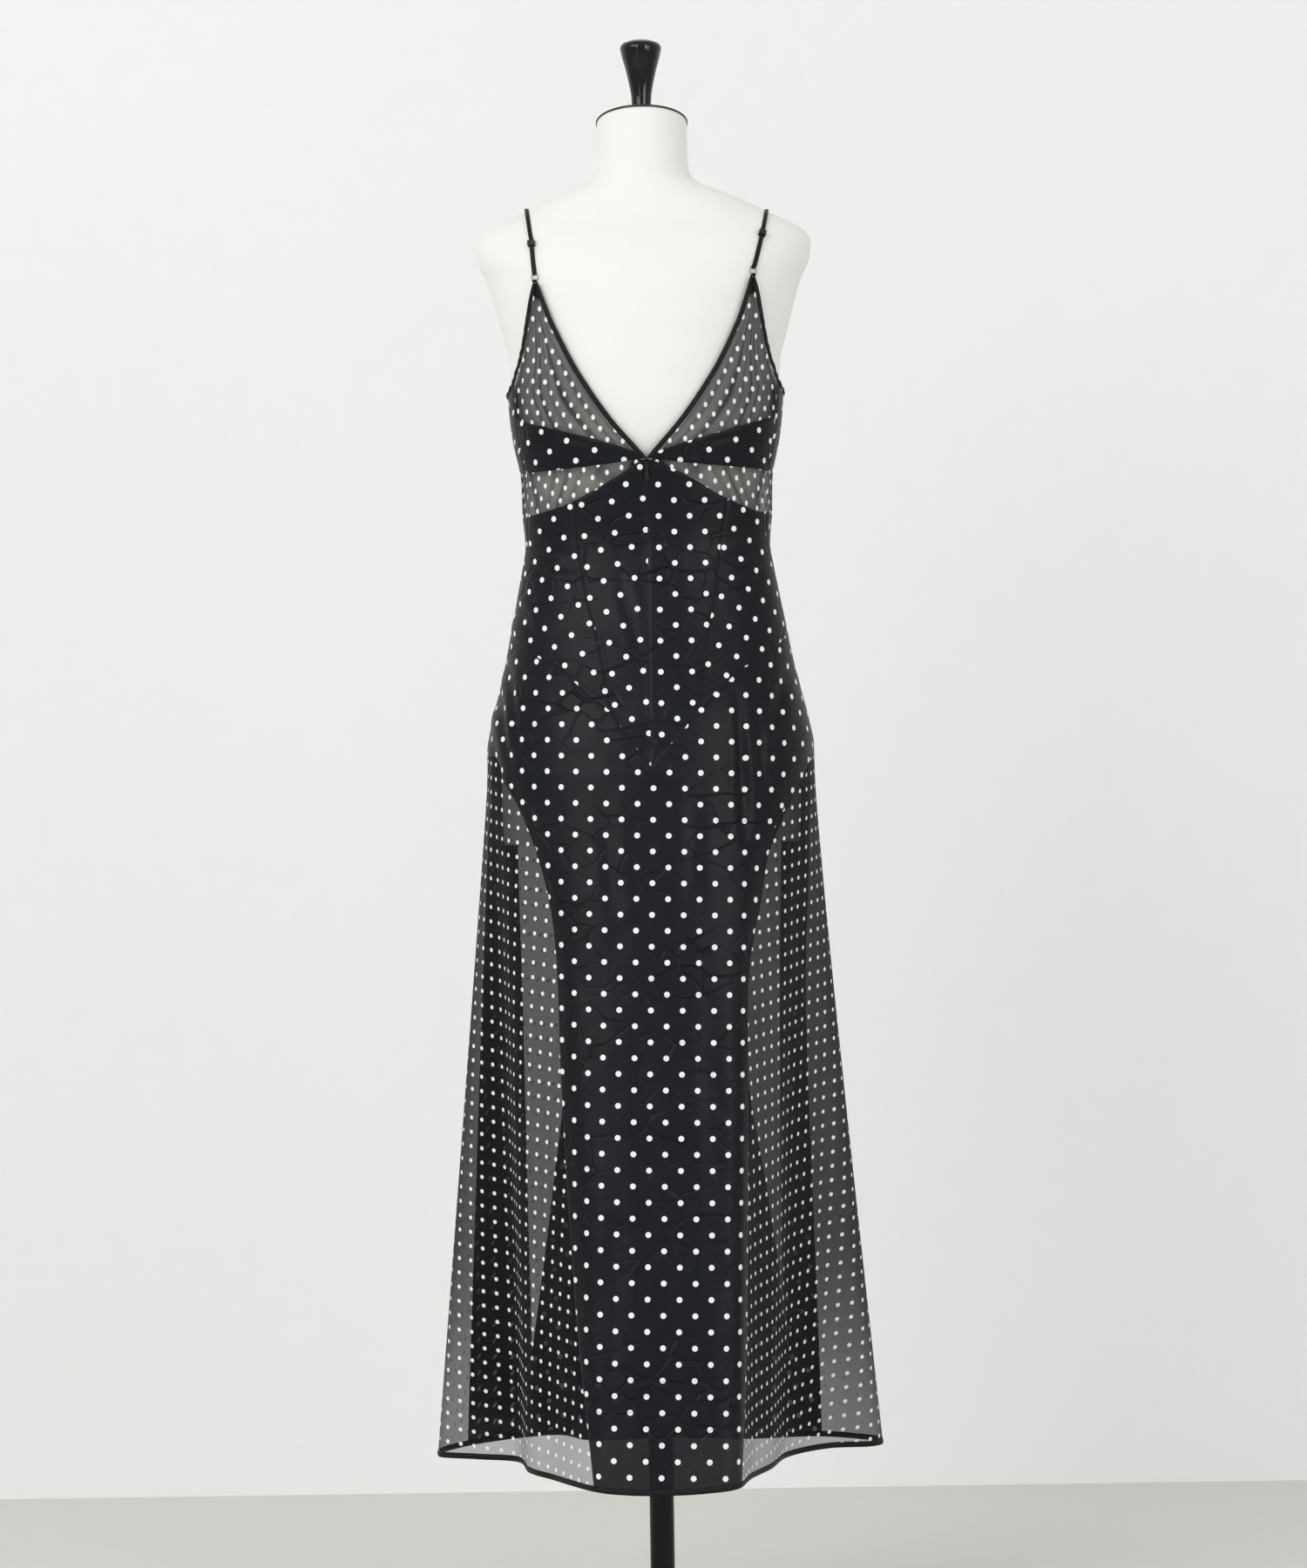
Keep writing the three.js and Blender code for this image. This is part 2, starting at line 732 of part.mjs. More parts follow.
// The front neckline, whose binding ends square at the centre
function frontNeck(side) {
  const tip = tipPlace(side, frontApex, "front", -1);
  const outer = smoothed([tip, ...placesOf(frontNeckline, side, "front")]);
  const inner = shifted(outer, (at) => -sides[side] * bindingWidthAt(at));
  const end = last(outer);
  const before = outer[outer.length - 2];
  const tangent = clothPoint(end.angle, end.z).sub(clothPoint(before.angle, before.z)).normalize();
  inner[inner.length - 1] = { angle: end.angle, z: end.z - bindingWidth / Math.abs(tangent.x) };
  return { outer: evenSteps(outer, steps.cupNeck), inner: evenSteps(inner, steps.cupNeck) };
}

// The armhole from the back ring, under the arm and up to the front of the strap
function armholeEdge(side) {
  const sign = sides[side];
  const backTip = tipPlace(side, backApex, "back", 1);
  const frontTip = tipPlace(side, frontApex, "front", 1);
  const middle = armhole.map((row) => ({ angle: sign * row.angle, z: row.z }));
  const outer = smoothed([backTip, ...middle, frontTip]);
  const inner = shifted(outer, (at, whole) => -sign * bindingWidthAt(Math.min(at, whole - at)));
  const [innerBack, innerFront] = splitWhere(inner, "angle", Math.abs(sideAngle(side, armholeSideZ)));
  const [outerBack, outerFront] = splitWhere(outer, "angle", Math.abs(sideAngle(side, armholeSideZ)));
  return {
    back: evenSteps(innerBack, steps.armholeBack),
    front: evenSteps(innerFront, steps.armholeFront),
    outer: joined(
      evenSteps(outerBack, steps.armholeBack),
      evenSteps(outerFront, steps.armholeFront),
    ),
  };
}

// All seams that run up one side, in steps that both of their pieces share
function sideSeams(side, armholeEnd) {
  const straight = (fromZ, toZ, count) => {
    const height = (i) => fromZ + ((toZ - fromZ) * i) / sideSpans;
    return evenSteps(Array.from({ length: sideSpans + 1 }, (_, i) => sidePlace(side, height(i))), count);
  };
  const hemAngle = sideAngle(side, hemZ);
  const low = straight(hemHeight(hemAngle), seamTurnZ, steps.skirt);
  return {
    upper: run(sidePlace(side, bandSideZ), armholeEnd, steps.sideUpper),
    band: straight(underbustSideZ, bandSideZ, steps.sideBand),
    midriff: straight(bodiceSideZ, underbustSideZ, steps.sideMidriff),
    bodice: straight(basqueSideZ, bodiceSideZ, steps.sideBodice),
    hip: straight(cornerZ, basqueSideZ, steps.hipSide),
    skirt: joined(low, straight(seamTurnZ, cornerZ, steps.hipCurve)),
  };
}

function hemRun(from, to, count) {
  const ends = run({ angle: from, z: hemZ }, { angle: to, z: hemZ }, hemSamples);
  return evenSteps(ends.map((p) => ({ angle: p.angle, z: hemHeight(p.angle) })), count);
}

// A skirt seam from the hem up, whose lowest place lies on the hem
function skirtSeam(rows, side, face) {
  const places = placesOf(rows, side, face);
  const low = last(places);
  return reversed(smoothed([...places.slice(0, -1), { angle: low.angle, z: hemHeight(low.angle) }]));
}

function splitSteps(places, cuts, counts) {
  let rest = places;
  const lists = cuts.map((z, i) => {
    const [below, above] = splitWhere(rest, "z", z);
    rest = above;
    return evenSteps(below, counts[i]);
  });
  return [...lists, evenSteps(rest, last(counts))];
}

// Every seam of one side, in the steps that the pieces on it share
function seamsOf(side) {
  const neck = backNeck(side);
  const arm = armholeEdge(side);
  const up = sideSeams(side, last(arm.back));
  const neckEnd = last(neck.lower);
  const acrossBack = (rows, from, sideZ) =>
    evenSteps(smoothed([from, ...placesOf(rows, side, "back"), sidePlace(side, sideZ)]), steps.band);
  const topLine = smoothed([...placesOf(bodiceTop, side, "back"), sidePlace(side, bodiceSideZ)]);
  const [topLead, topRest] = splitWhere(topLine, "angle", Math.abs(neckEnd.angle));
  const [topCentre, topSide] = splitWhere(topRest, "z", princessTopZ);
  const basqueLine = smoothed([...placesOf(basqueSeam, side, "back"), sidePlace(side, basqueSideZ)]);
  const [basqueCentre, basqueSide] = splitWhere(basqueLine, "z", princessLowZ);
  const princessPlaces = reversed(placesOf(princessSeam, side, "back"));
  const princessLine = [last(basqueCentre), ...princessPlaces, last(topCentre)];
  const skirtLine = skirtSeam(skirtBackSeam, side, "back");
  const [skirtLow, skirtHigh] = splitSteps(skirtLine, [seamTurnZ], [steps.skirt, steps.hipCurve]);
  return {
    neck,
    arm,
    up,
    bandTop: acrossBack(bandTop, last(neck.upper), bandSideZ),
    bandBottom: acrossBack(bandBottom, neckEnd, underbustSideZ),
    topLead: evenSteps(topLead, 1),
    topCentre: evenSteps(topCentre, steps.centreBodice),
    topSide: evenSteps(topSide, steps.band - steps.centreBodice),
    basqueCentre: evenSteps(basqueCentre, steps.centreBodice + 1),
    basqueSide: evenSteps(basqueSide, steps.band - steps.centreBodice),
    princess: evenSteps(smoothed(princessLine), steps.sideBodice * finer.princess),
    skirtBack: joined(skirtLow, skirtHigh),
    cornerBack: run(last(skirtHigh), sidePlace(side, cornerZ), steps.cornerArc),
  };
}

function addBackPieces(side, tag) {
  const seam = seamsOf(side);
  const centre = { angle: 0, z: basquePointZ };
  const zipTop = { angle: 0, z: zipTopZ };
  addPanel(`back_upper_sheer_${tag}`, {
    start: reversed(seam.neck.upper),
    end: joined(seam.up.upper, reversed(seam.arm.back)),
    bottom: refined(seam.bandTop, finer.upperSheer),
    top: run(first(seam.neck.upper), first(seam.arm.back), steps.band * finer.upperSheer),
  }, "sheer", { gather: gathers.upperSheer });
  addPanel(`back_band_${tag}`, {
    start: refined(reversed(seam.neck.lower), steps.sideBand),
    end: seam.up.band,
    bottom: seam.bandBottom,
    top: seam.bandTop,
  }, "satin");
  const topEdge = joined(seam.topCentre, seam.topSide);
  addPanel(`back_lower_sheer_${tag}`, {
    start: run(first(topEdge), first(seam.bandBottom), steps.sideMidriff),
    end: seam.up.midriff,
    bottom: refined(topEdge, finer.lowerSheer),
    top: refined(seam.bandBottom, finer.lowerSheer),
  }, "sheer", { gather: gathers.lowerSheer });
  addPanel(`back_centre_bodice_${tag}`, {
    start: run(centre, zipTop, steps.sideBodice * finer.princess),
    end: seam.princess,
    bottom: seam.basqueCentre,
    top: joined(seam.topLead, seam.topCentre),
  }, "satin");
  addPanel(`back_side_bodice_${tag}`, {
    start: seam.princess,
    end: refined(seam.up.bodice, finer.princess),
    bottom: seam.basqueSide,
    top: seam.topSide,
  }, "satin");
  addBinding(`back_neck_binding_${tag}`, seam.neck.outer, joined(seam.neck.upper, seam.neck.lower));
  addBinding(`armhole_binding_${tag}`, seam.arm.outer, joined(seam.arm.back, seam.arm.front));
  return seam;
}

function addSkirtBack(left, right) {
  const rise = (seam) => joined(seam.skirtBack, seam.cornerBack, seam.up.hip);
  addPanel("skirt_back_panel", {
    start: rise(left),
    end: rise(right),
    bottom: hemRun(first(left.skirtBack).angle, first(right.skirtBack).angle, steps.backHem),
    top: joined(
      reversed(joined(left.basqueCentre, left.basqueSide)),
      joined(right.basqueCentre, right.basqueSide),
    ),
  }, "satin", { ease: true });
}

function addSideSheer(tag, seam) {
  const count = steps.cornerArc * finer.cornerArc;
  addPanel(`skirt_side_sheer_${tag}`, {
    start: seam.skirtBack,
    end: seam.up.skirt,
    bottom: hemRun(first(seam.skirtBack).angle, first(seam.up.skirt).angle, count),
    top: refined(seam.cornerBack, finer.cornerArc),
  }, "sheer");
}

// The front's own seams, in the same way
function frontSeamsOf(side) {
  const sign = sides[side];
  const neck = frontNeck(side);
  const low = { angle: sign * 180, z: cupCentreZ };
  const bodiceMiddle = { angle: sign * 180, z: frontBodiceCentreZ };
  const bodiceSide = sidePlace(side, bodiceSideZ);
  const joint = { angle: frontPrincessAngle * sign, z: frontPrincessTopZ };
  const basqueLine = smoothed([...placesOf(frontBasqueSeam, side, "front"), sidePlace(side, basqueSideZ)]);
  const [basqueCentre, basqueSide] = splitWhere(basqueLine, "z", princessLowZ);
  const princessLine = [last(basqueCentre), ...reversed(placesOf(frontPrincessSeam, side, "front")), joint];
  const skirtLine = skirtSeam(skirtFrontSeam, side, "front");
  const cuts = [insetBottomZ, seamTurnZ, insetTopZ];
  const counts = [steps.hemBelowInset, steps.inset, steps.aboveTurn, steps.aboveTurn];
  const [belowInset, insetLow, insetHigh, aboveInset] = splitSteps(skirtLine, cuts, counts);
  const outerLine = smoothed([
    last(belowInset),
    ...reversed(placesOf(insetOuterSeam, side, "front")),
    first(aboveInset),
  ]);
  const insetCounts = [steps.inset, steps.aboveTurn];
  return {
    neck,
    underbust: run(sidePlace(side, underbustSideZ), low, steps.frontHalf * 2),
    topSide: run(bodiceSide, joint, steps.frontHalf),
    topCentre: run(joint, bodiceMiddle, steps.frontHalf),
    basqueCentre: evenSteps(basqueCentre, steps.frontHalf),
    basqueSide: evenSteps(basqueSide, steps.frontHalf),
    princess: evenSteps(smoothed(princessLine), steps.sideBodice),
    belowInset,
    insetInner: joined(insetLow, insetHigh),
    insetOuter: joined(...splitSteps(outerLine, [seamTurnZ], insetCounts)),
    aboveInset,
    corner: run(last(aboveInset), sidePlace(side, cornerZ), 1),
  };
}

// The left half of the front counts its angles on past the centre front
function pastCentre(places) {
  return places.map((p) => ({ angle: p.angle < 0 ? p.angle + 360 : p.angle, z: p.z }));
}

function trimmedEnds(places) {
  const count = places.length - 1;
  const low = between(places[0], places[1], insetEndTrim);
  const high = between(places[count], places[count - 1], insetEndTrim);
  return [low, ...places.slice(1, -1), high];
}

function addFrontPieces(tag, seam, front) {
  const cupCentre = run(last(front.underbust), last(front.neck.inner), steps.cupCentre);
  addPanel(`front_cup_${tag}`, {
    start: joined(seam.up.band, seam.up.upper, seam.arm.front),
    end: joined(cupCentre, reversed(front.neck.inner)),
    bottom: front.underbust,
    top: run(last(seam.arm.front), first(front.neck.inner), steps.frontHalf * 2),
  }, "satin", { ease: true });
  const bodiceTopEdge = joined(front.topSide, front.topCentre);
  addPanel(`front_midriff_sheer_${tag}`, {
    start: seam.up.midriff,
    end: run(last(bodiceTopEdge), last(front.underbust), steps.sideMidriff),
    bottom: refined(bodiceTopEdge, finer.midriff),
    top: refined(front.underbust, finer.midriff),
  }, "sheer", { gather: gathers.midriff });
  addPanel(`front_side_bodice_${tag}`, {
    start: seam.up.bodice,
    end: front.princess,
    bottom: reversed(front.basqueSide),
    top: front.topSide,
  }, "satin");
  addBinding(`front_neck_binding_${tag}`, front.neck.outer, front.neck.inner);
  const insetInner = trimmedEnds(front.insetInner);
  const insetOuter = trimmedEnds(front.insetOuter);
  addPanel(`skirt_front_inset_${tag}`, {
    start: insetOuter,
    end: insetInner,
    bottom: run(first(insetOuter), first(insetInner), steps.insetAcross),
    top: run(last(insetOuter), last(insetInner), steps.insetAcross),
  }, "sheer");
  addPanel(`skirt_side_front_${tag}`, {
    start: seam.up.skirt,
    end: joined(front.belowInset, front.insetOuter, front.aboveInset),
    bottom: hemRun(first(seam.up.skirt).angle, first(front.belowInset).angle, steps.sideFront),
    top: refined(reversed(front.corner), steps.sideFront),
  }, "satin");
}

function addFrontCentre(left, right, leftFront, rightFront) {
  addPanel("front_centre_bodice", {
    start: rightFront.princess,
    end: pastCentre(leftFront.princess),
    bottom: joined(reversed(rightFront.basqueCentre), pastCentre(leftFront.basqueCentre)),
    top: joined(rightFront.topCentre, pastCentre(reversed(leftFront.topCentre))),
  }, "satin");
  const rise = (seam, front) =>
    joined(front.belowInset, front.insetInner, front.aboveInset, front.corner, seam.up.hip);
  const across = (front) => joined(front.basqueCentre, front.basqueSide);
  const hemEnd = pastCentre(leftFront.belowInset)[0].angle;
  addPanel("skirt_front_panel", {
    start: rise(right, rightFront),
    end: pastCentre(rise(left, leftFront)),
    bottom: hemRun(rightFront.belowInset[0].angle, hemEnd, steps.frontHalf * 4),
    top: joined(reversed(across(rightFront)), pastCentre(across(leftFront))),
  }, "satin", { ease: true });
}

// A closed body through rings of one size, with a point in the middle of each end
function loftGeometry(rings) {
  const count = rings[0].length;
  const middle = (ring) => ring.reduce((sum, p) => sum.add(p), new THREE.Vector3()).divideScalar(count);
  const points = [...rings.flat(), middle(first(rings)), middle(last(rings))];
  const faces = [];
  const index = (r, k) => r * count + (k % count);
  for (let k = 0; k < count; k += 1) {
    for (let r = 0; r < rings.length - 1; r += 1) {
      faces.push(index(r, k), index(r, k + 1), index(r + 1, k + 1));
      faces.push(index(r, k), index(r + 1, k + 1), index(r + 1, k));
    }
    faces.push(points.length - 2, index(0, k + 1), index(0, k));
    faces.push(points.length - 1, index(rings.length - 1, k), index(rings.length - 1, k + 1));
  }
  return solidGeometry(points, faces);
}

function ovalRing(section, z, segments) {
  return Array.from({ length: segments }, (_, k) => {
    const { x, y } = ovalPoint(section, (k * 360) / segments, formSquareness);
    return new THREE.Vector3(x, y, z);
  });
}

function lathe(profile, segments) {
  const points = profile.map(([radius, z]) => new THREE.Vector2(radius, z));
  const geometry = new THREE.LatheGeometry(points, segments);
  return geometry.rotateX(Math.PI / 2);
}

// Cuts the neck's top on its slant, and what stands on it with it
function slanted(geometry, finialLow) {
  const place = geometry.getAttribute("position");
  const neckSpan = formSections[0].z - neckSlant.fromZ;
  for (let i = 0; i < place.count; i += 1) {
    const z = place.getZ(i);
    const below = (z - neckSlant.fromZ) / neckSpan;
    const above = 1 - (z - finialLow) / finialProfile[1].above;
    const share = Math.max(0, Math.min(below, above, 1));
    place.setZ(i, z - neckSlant.fall * (place.getY(i) + discRadius) * share);
  }
  return geometry;
}

function addForm() {
  const upward = [...formSections].reverse();
  const rings = upward.map((section) => ovalRing(section, section.z, formSegments));
  const neckTop = formSections[0].z;
  const discLow = neckTop + seamGap;
  const finialLow = discLow + discThick + seamGap;
  addMesh("form_torso", slanted(loftGeometry(rings), finialLow), "formCloth");
  const disc = new THREE.CylinderGeometry(discRadius, discRadius, discThick, formSegments);
  disc.rotateX(Math.PI / 2).translate(0, 0, discLow + discThick / 2);
  addMesh("form_neck_disc", slanted(disc, finialLow), "blackGloss");
  const outline = finialProfile.map((row) => [row.radius, finialLow + row.above]);
  const finial = [[0, finialLow], ...outline, [0, finialLow + finialHeight]];
  addMesh("form_finial", slanted(lathe(finial, finialSegments), finialLow), "blackGloss");
  const poleTop = last(formSections).z - seamGap;
  const poleLow = basePlate.thick + seamGap;
  const pole = new THREE.CylinderGeometry(poleRadius, poleRadius, poleTop - poleLow, poleSegments);
  pole.rotateX(Math.PI / 2).translate(0, 0, (poleTop + poleLow) / 2);
  addMesh("form_pole", pole, "blackGloss");
  addBase();
}

// The round base plate with the collar that holds the pole
function addBase() {
  const { radius, thick, bevel, collarRadius, collarTop } = basePlate;
  const socket = poleRadius + seamGap;
  const profile = [
    [0, 0],
    [radius - bevel, 0],
    [radius, bevel],
    [radius, thick - bevel],
    [radius - bevel, thick],
    [collarRadius, thick],
    [collarRadius, collarTop - bevel],
    [collarRadius - bevel, collarTop],
    [socket, collarTop],
    [socket, thick],
    [0, thick],
  ];
  addMesh("form_base", lathe(profile, baseSegments), "blackMetal");
}

// How far behind or before the axis the form's surface is, over one place
function formPoint(x, z, face) {
  const section = sectionAt(formSections, z);
  const share = Math.min(Math.abs(x) / section.width, 1) ** formSquareness;
  const depth = section[face] * (1 - share) ** (1 / formSquareness);
  return new THREE.Vector3(x, face === "back" ? -depth : depth, z);
}

function formLevel(point) {
  const section = sectionAt(formSections, point.z);
  const depth = point.y < 0 ? section.back : section.front;
  const across = Math.abs(point.x) / section.width;
  return across ** formSquareness + (Math.abs(point.y) / depth) ** formSquareness;
}

function formNormal(point) {
  const step = 0.4;
  const change = (axis) => {
    const ahead = point.clone();
    const behind = point.clone();
    ahead[axis] += step;
    behind[axis] -= step;
    return formLevel(ahead) - formLevel(behind);
  };
  return new THREE.Vector3(change("x"), change("y"), change("z")).normalize();
}

// Axes at a place on the form: across, up along the surface, and out from it
function formFrame(place) {
  const out = formNormal(place);
  const up = new THREE.Vector3(0, 0, 1).addScaledVector(out, -out.z).normalize();
  return { place, out, up, across: up.clone().cross(out) };
}

function ringFrame(side) {
  const apex = backApex[side];
  return formFrame(formPoint(sides[side] * apex.x, apex.z + ringAboveApex, "back"));
}

// A flat band along a path, given its middle points and the direction across it at each one
function ribbonGeometry(path, width, thick) {
  const rings = path.map(({ point, across }, i) => {
    const before = path[Math.max(i - 1, 0)].point;
    const after = path[Math.min(i + 1, path.length - 1)].point;
    const along = after.clone().sub(before).normalize();
    const sideways = across.clone().addScaledVector(along, -across.dot(along)).normalize();
    const out = along.clone().cross(sideways);
    const corner = (a, b) =>
      point.clone().addScaledVector(sideways, (a * width) / 2).addScaledVector(out, (b * thick) / 2);
    return [corner(1, -1), corner(1, 1), corner(-1, 1), corner(-1, -1)];
  });
  return ribbonSolid(rings);
}

function ribbonSolid(rings) {
  const faces = [];
  const index = (r, k) => r * 4 + (k % 4);
  for (let r = 0; r < rings.length - 1; r += 1) {
    for (let k = 0; k < 4; k += 1) {
      faces.push(index(r, k), index(r, k + 1), index(r + 1, k + 1));
      faces.push(index(r, k), index(r + 1, k + 1), index(r + 1, k));
    }
  }
  const end = rings.length - 1;
  faces.push(index(0, 0), index(0, 2), index(0, 1), index(0, 0), index(0, 3), index(0, 2));
  faces.push(index(end, 0), index(end, 1), index(end, 2), index(end, 0), index(end, 2), index(end, 3));
  return solidGeometry(rings.flat(), faces);
}

// Heights above the form: the strap's two layers and the ring between them, then both at the slider
const layerLow = strapClear + strapThick / 2;
const turnRadius = ringWire + seamGap + strapThick / 2;
const ringHeight = layerLow + turnRadius;
const layerHigh = layerLow + 2 * turnRadius;
const sliderLow = layerLow + sliderSize.wall + 2 * seamGap;
const sliderHigh = sliderLow + strapThick + seamGap;

// The turn of a band round the ring's wire, above (1) or below (-1) the ring's centre
function ringTurn(frame, way) {
  return Array.from({ length: turnSteps + 1 }, (_, i) => {
    const angle = (Math.PI * i) / turnSteps;
    const upBy = way * (turnCentre - turnRadius * Math.sin(angle));
    return ringPlace(frame, upBy, ringHeight + turnRadius * Math.cos(angle));
  });
}

function ringPlace({ place, up, out, across }, upBy, height) {
  return { point: place.clone().addScaledVector(up, upBy).addScaledVector(out, height), across };
}

// A strap: its sewn end at the slider, down and round the ring, and up over the shoulder to the front
function strapPath(side) {
  const frame = ringFrame(side);
  const { sliderX, sliderZ } = strapPlaces[side];
  const ringX = Math.abs(frame.place.x);
  const onBack = (z, height) => {
    const x = ringX + ((sliderX - ringX) * (z - frame.place.z)) / (sliderZ - frame.place.z);
    return ringPlace(formFrame(formPoint(sides[side] * x, z, "back")), 0, height);
  };
  const top = sliderZ + sliderSize.height / 2;
  const below = sliderZ - sliderSize.height / 2;
  const nearRing = frame.place.z + 2 * turnCentre;
  const down = [onBack(top, sliderHigh), onBack(below, sliderHigh), onBack(nearRing, layerHigh)];
  const up = [onBack(nearRing, layerLow), onBack(below, sliderLow), onBack(top, sliderLow)];
  return [...down, ...ringTurn(frame, 1), ...up, ...overShoulder(side, last(up).point)];
}

const shoulderSpan = { low: 1545, high: 1600 };

// The stretch from the slider over the shoulder's ridge to the front cup
function overShoulder(side, start) {
  const { topX } = strapPlaces[side];
  const apex = frontApex[side];
  const ridgeZ = ridgeHeight(topX);
  const startX = Math.abs(start.x);
  const across = new THREE.Vector3(1, 0, 0);
  const place = (x, z, face, height) => {
    const point = formPoint(sides[side] * x, z, face);
    return { point: point.addScaledVector(formNormal(point), height), across };
  };
  const along = (from, to, share) => from + (to - from) * share;
  const low = layerLow + strapLift;
  const behind = Array.from({ length: shoulderRows }, (_, i) => {
    const share = 1 - (1 - (i + 1) / shoulderRows) ** 2;
    return place(along(startX, topX, share), along(start.z, ridgeZ, share), "back", low);
  });
  const rows = 2 * shoulderRows;
  const before = Array.from({ length: rows }, (_, i) => {
    const share = ((i + 1) / rows) ** 2;
    const lift = along(low, strapEndHeight, share ** 4);
    return place(along(topX, apex.x, share), along(ridgeZ, apex.z + strapEndAbove, share), "front", lift);
  });
  return [...behind, ...before];
}

// The height at which the form's shoulder is as wide as the strap is far out
function ridgeHeight(x) {
  let { low, high } = shoulderSpan;
  while (high - low > seamGap) {
    const middle = (low + high) / 2;
    if (sectionAt(formSections, middle).width > x) low = middle;
    else high = middle;
  }
  return low;
}

function addStrap(side, tag) {
  addMesh(`strap_${tag}`, ribbonGeometry(strapPath(side), strapWidth, strapThick), "trim");
  const frame = ringFrame(side);
  const { across, up, out } = frame;
  const centre = ringPlace(frame, 0, ringHeight).point;
  const ring = new THREE.TorusGeometry(ringRadius, ringWire, ringSides.wire, ringSides.round);
  ring.applyMatrix4(new THREE.Matrix4().makeBasis(across, up, out).setPosition(centre));
  addMesh(`strap_ring_${tag}`, ring, "silver");
  addApexLoop(frame, tag);
  addStrapSlider(side, tag);
}

// The little loop at the cloth's tip, round the lower wire of the ring
function addApexLoop(frame, tag) {
  const legEnd = strapEndAbove - ringAboveApex;
  const path = [
    ringPlace(frame, legEnd, layerHigh),
    ...ringTurn(frame, -1),
    ringPlace(frame, legEnd, layerLow),
  ];
  addMesh(`back_apex_loop_${tag}`, ribbonGeometry(path, strapWidth, strapThick), "trim");
}

// A rectangular band round both layers of the strap
function addStrapSlider(side, tag) {
  const { sliderX, sliderZ } = strapPlaces[side];
  const { width, height, wall } = sliderSize;
  const { place, out } = formFrame(formPoint(sides[side] * sliderX, sliderZ, "back"));
  const up = place.clone().sub(ringFrame(side).place);
  up.addScaledVector(out, -up.dot(out)).normalize();
  const across = up.clone().cross(out);
  const low = strapClear;
  const high = sliderHigh + strapThick / 2 + 2 * seamGap + wall;
  const shape = rectangle(-width / 2, low, width, high - low);
  const hole = rectangle(-width / 2 + wall, low + wall, width - 2 * wall, high - low - 2 * wall);
  shape.holes.push(new THREE.Path(hole.getPoints()));
  const geometry = new THREE.ExtrudeGeometry(shape, { depth: height, bevelEnabled: false });
  const corner = place.clone().addScaledVector(up, -height / 2);
  geometry.applyMatrix4(new THREE.Matrix4().makeBasis(across.negate(), out, up).setPosition(corner));
  addMesh(`strap_slider_${tag}`, geometry, "blackPlastic");
}

function rectangle(x, y, width, height) {
  const shape = new THREE.Shape();
  shape.moveTo(x, y).lineTo(x + width, y).lineTo(x + width, y + height).lineTo(x, y + height).closePath();
  return shape;
}

// The zip's slider and pull tab, made across (x), along the seam (y) and out from the cloth (z)
const manifold = await ManifoldModule();
manifold.setup();

// A geometry as a solid that can be joined and cut
function solidOf(geometry) {
  const bare = new THREE.BufferGeometry();
  bare.setAttribute("position", geometry.getAttribute("position"));
  bare.setIndex(geometry.getIndex());
  const merged = mergeVertices(bare);
  const vertProperties = new Float32Array(merged.getAttribute("position").array);
  const triVerts = new Uint32Array(merged.getIndex().array);
  return new manifold.Manifold(new manifold.Mesh({ numProp: 3, vertProperties, triVerts }));
}

function boxBody(width, length, low, high) {
  return solidOf(new THREE.BoxGeometry(width, length, high - low).translate(0, 0, (low + high) / 2));
}

function pinBody(length, radius) {
  return solidOf(new THREE.CylinderGeometry(radius, radius, length, roundSides).rotateZ(Math.PI / 2));
}

function addBody(name, body, frame, finish) {
  const mesh = body.getMesh();
  const geometry = new THREE.BufferGeometry();
  geometry.setAttribute("position", new THREE.BufferAttribute(new Float32Array(mesh.vertProperties), 3));
  geometry.setIndex(Array.from(mesh.triVerts));
  geometry.computeVertexNormals();
  geometry.applyMatrix4(frame);
  addMesh(name, geometry, finish);
}

function addZip() {
  const { centreZ, width, length, thick, cheekWide, pinRadius } = zipSlider;
  const out = clothNormal(0, centreZ);
  const across = new THREE.Vector3(1, 0, 0);
  const frame = new THREE.Matrix4().makeBasis(across, out.clone().cross(across), out);
  frame.setPosition(clothPoint(0, centreZ));
  const top = zipStandOff + thick;
  const pinHeight = top + zipClear + zipEyeRadius;
  const pinPlace = [0, zipPinAlong, pinHeight];
  const gap = width - 2 * cheekWide;
  const cheeks = pinBody(width, zipEyeRadius)
    .translate(pinPlace)
    .add(boxBody(width, 2 * zipEyeRadius, zipStandOff, pinHeight).translate([0, zipPinAlong, 0]))
    .subtract(boxBody(gap, length, top, 2 * pinHeight));
  const pin = pinBody(width - cheekWide, pinRadius).translate(pinPlace);
  const slider = boxBody(width, length, zipStandOff, top).add(cheeks).add(pin);
  addBody("zip_slider", slider, frame, "blackPlastic");
  addBody("zip_pull", pullBody().translate(pinPlace), frame, "blackPlastic");
}

// A drop-shaped tab that hangs from its eye, which turns on the slider's pin
function pullBody() {
  const { length, width, neckWidth, neckLength, wideAt, thick } = pullTab;
  const half = width / 2;
  const foot = Array.from({ length: roundSides / 2 + 1 }, (_, i) => {
    const angle = -(Math.PI * i) / (roundSides / 2);
    return [half * Math.cos(angle), -wideAt + (length - wideAt) * Math.sin(angle)];
  });
  const neck = neckWidth / 2;
  const stem = [[neck, -neckLength], [neck, 0], [-neck, 0], [-neck, -neckLength]];
  const outline = [...stem, ...foot.reverse()];
  const shape = new THREE.Shape(outline.map(([x, y]) => new THREE.Vector2(x, y)));
  const flat = new THREE.ExtrudeGeometry(shape, { depth: thick, bevelEnabled: false });
  const blade = solidOf(flat.translate(0, 0, -thick / 2));
  const eye = pinBody(neckWidth, zipEyeRadius);
  return blade.add(eye).subtract(pinBody(width, zipSlider.pinRadius + zipClear));
}

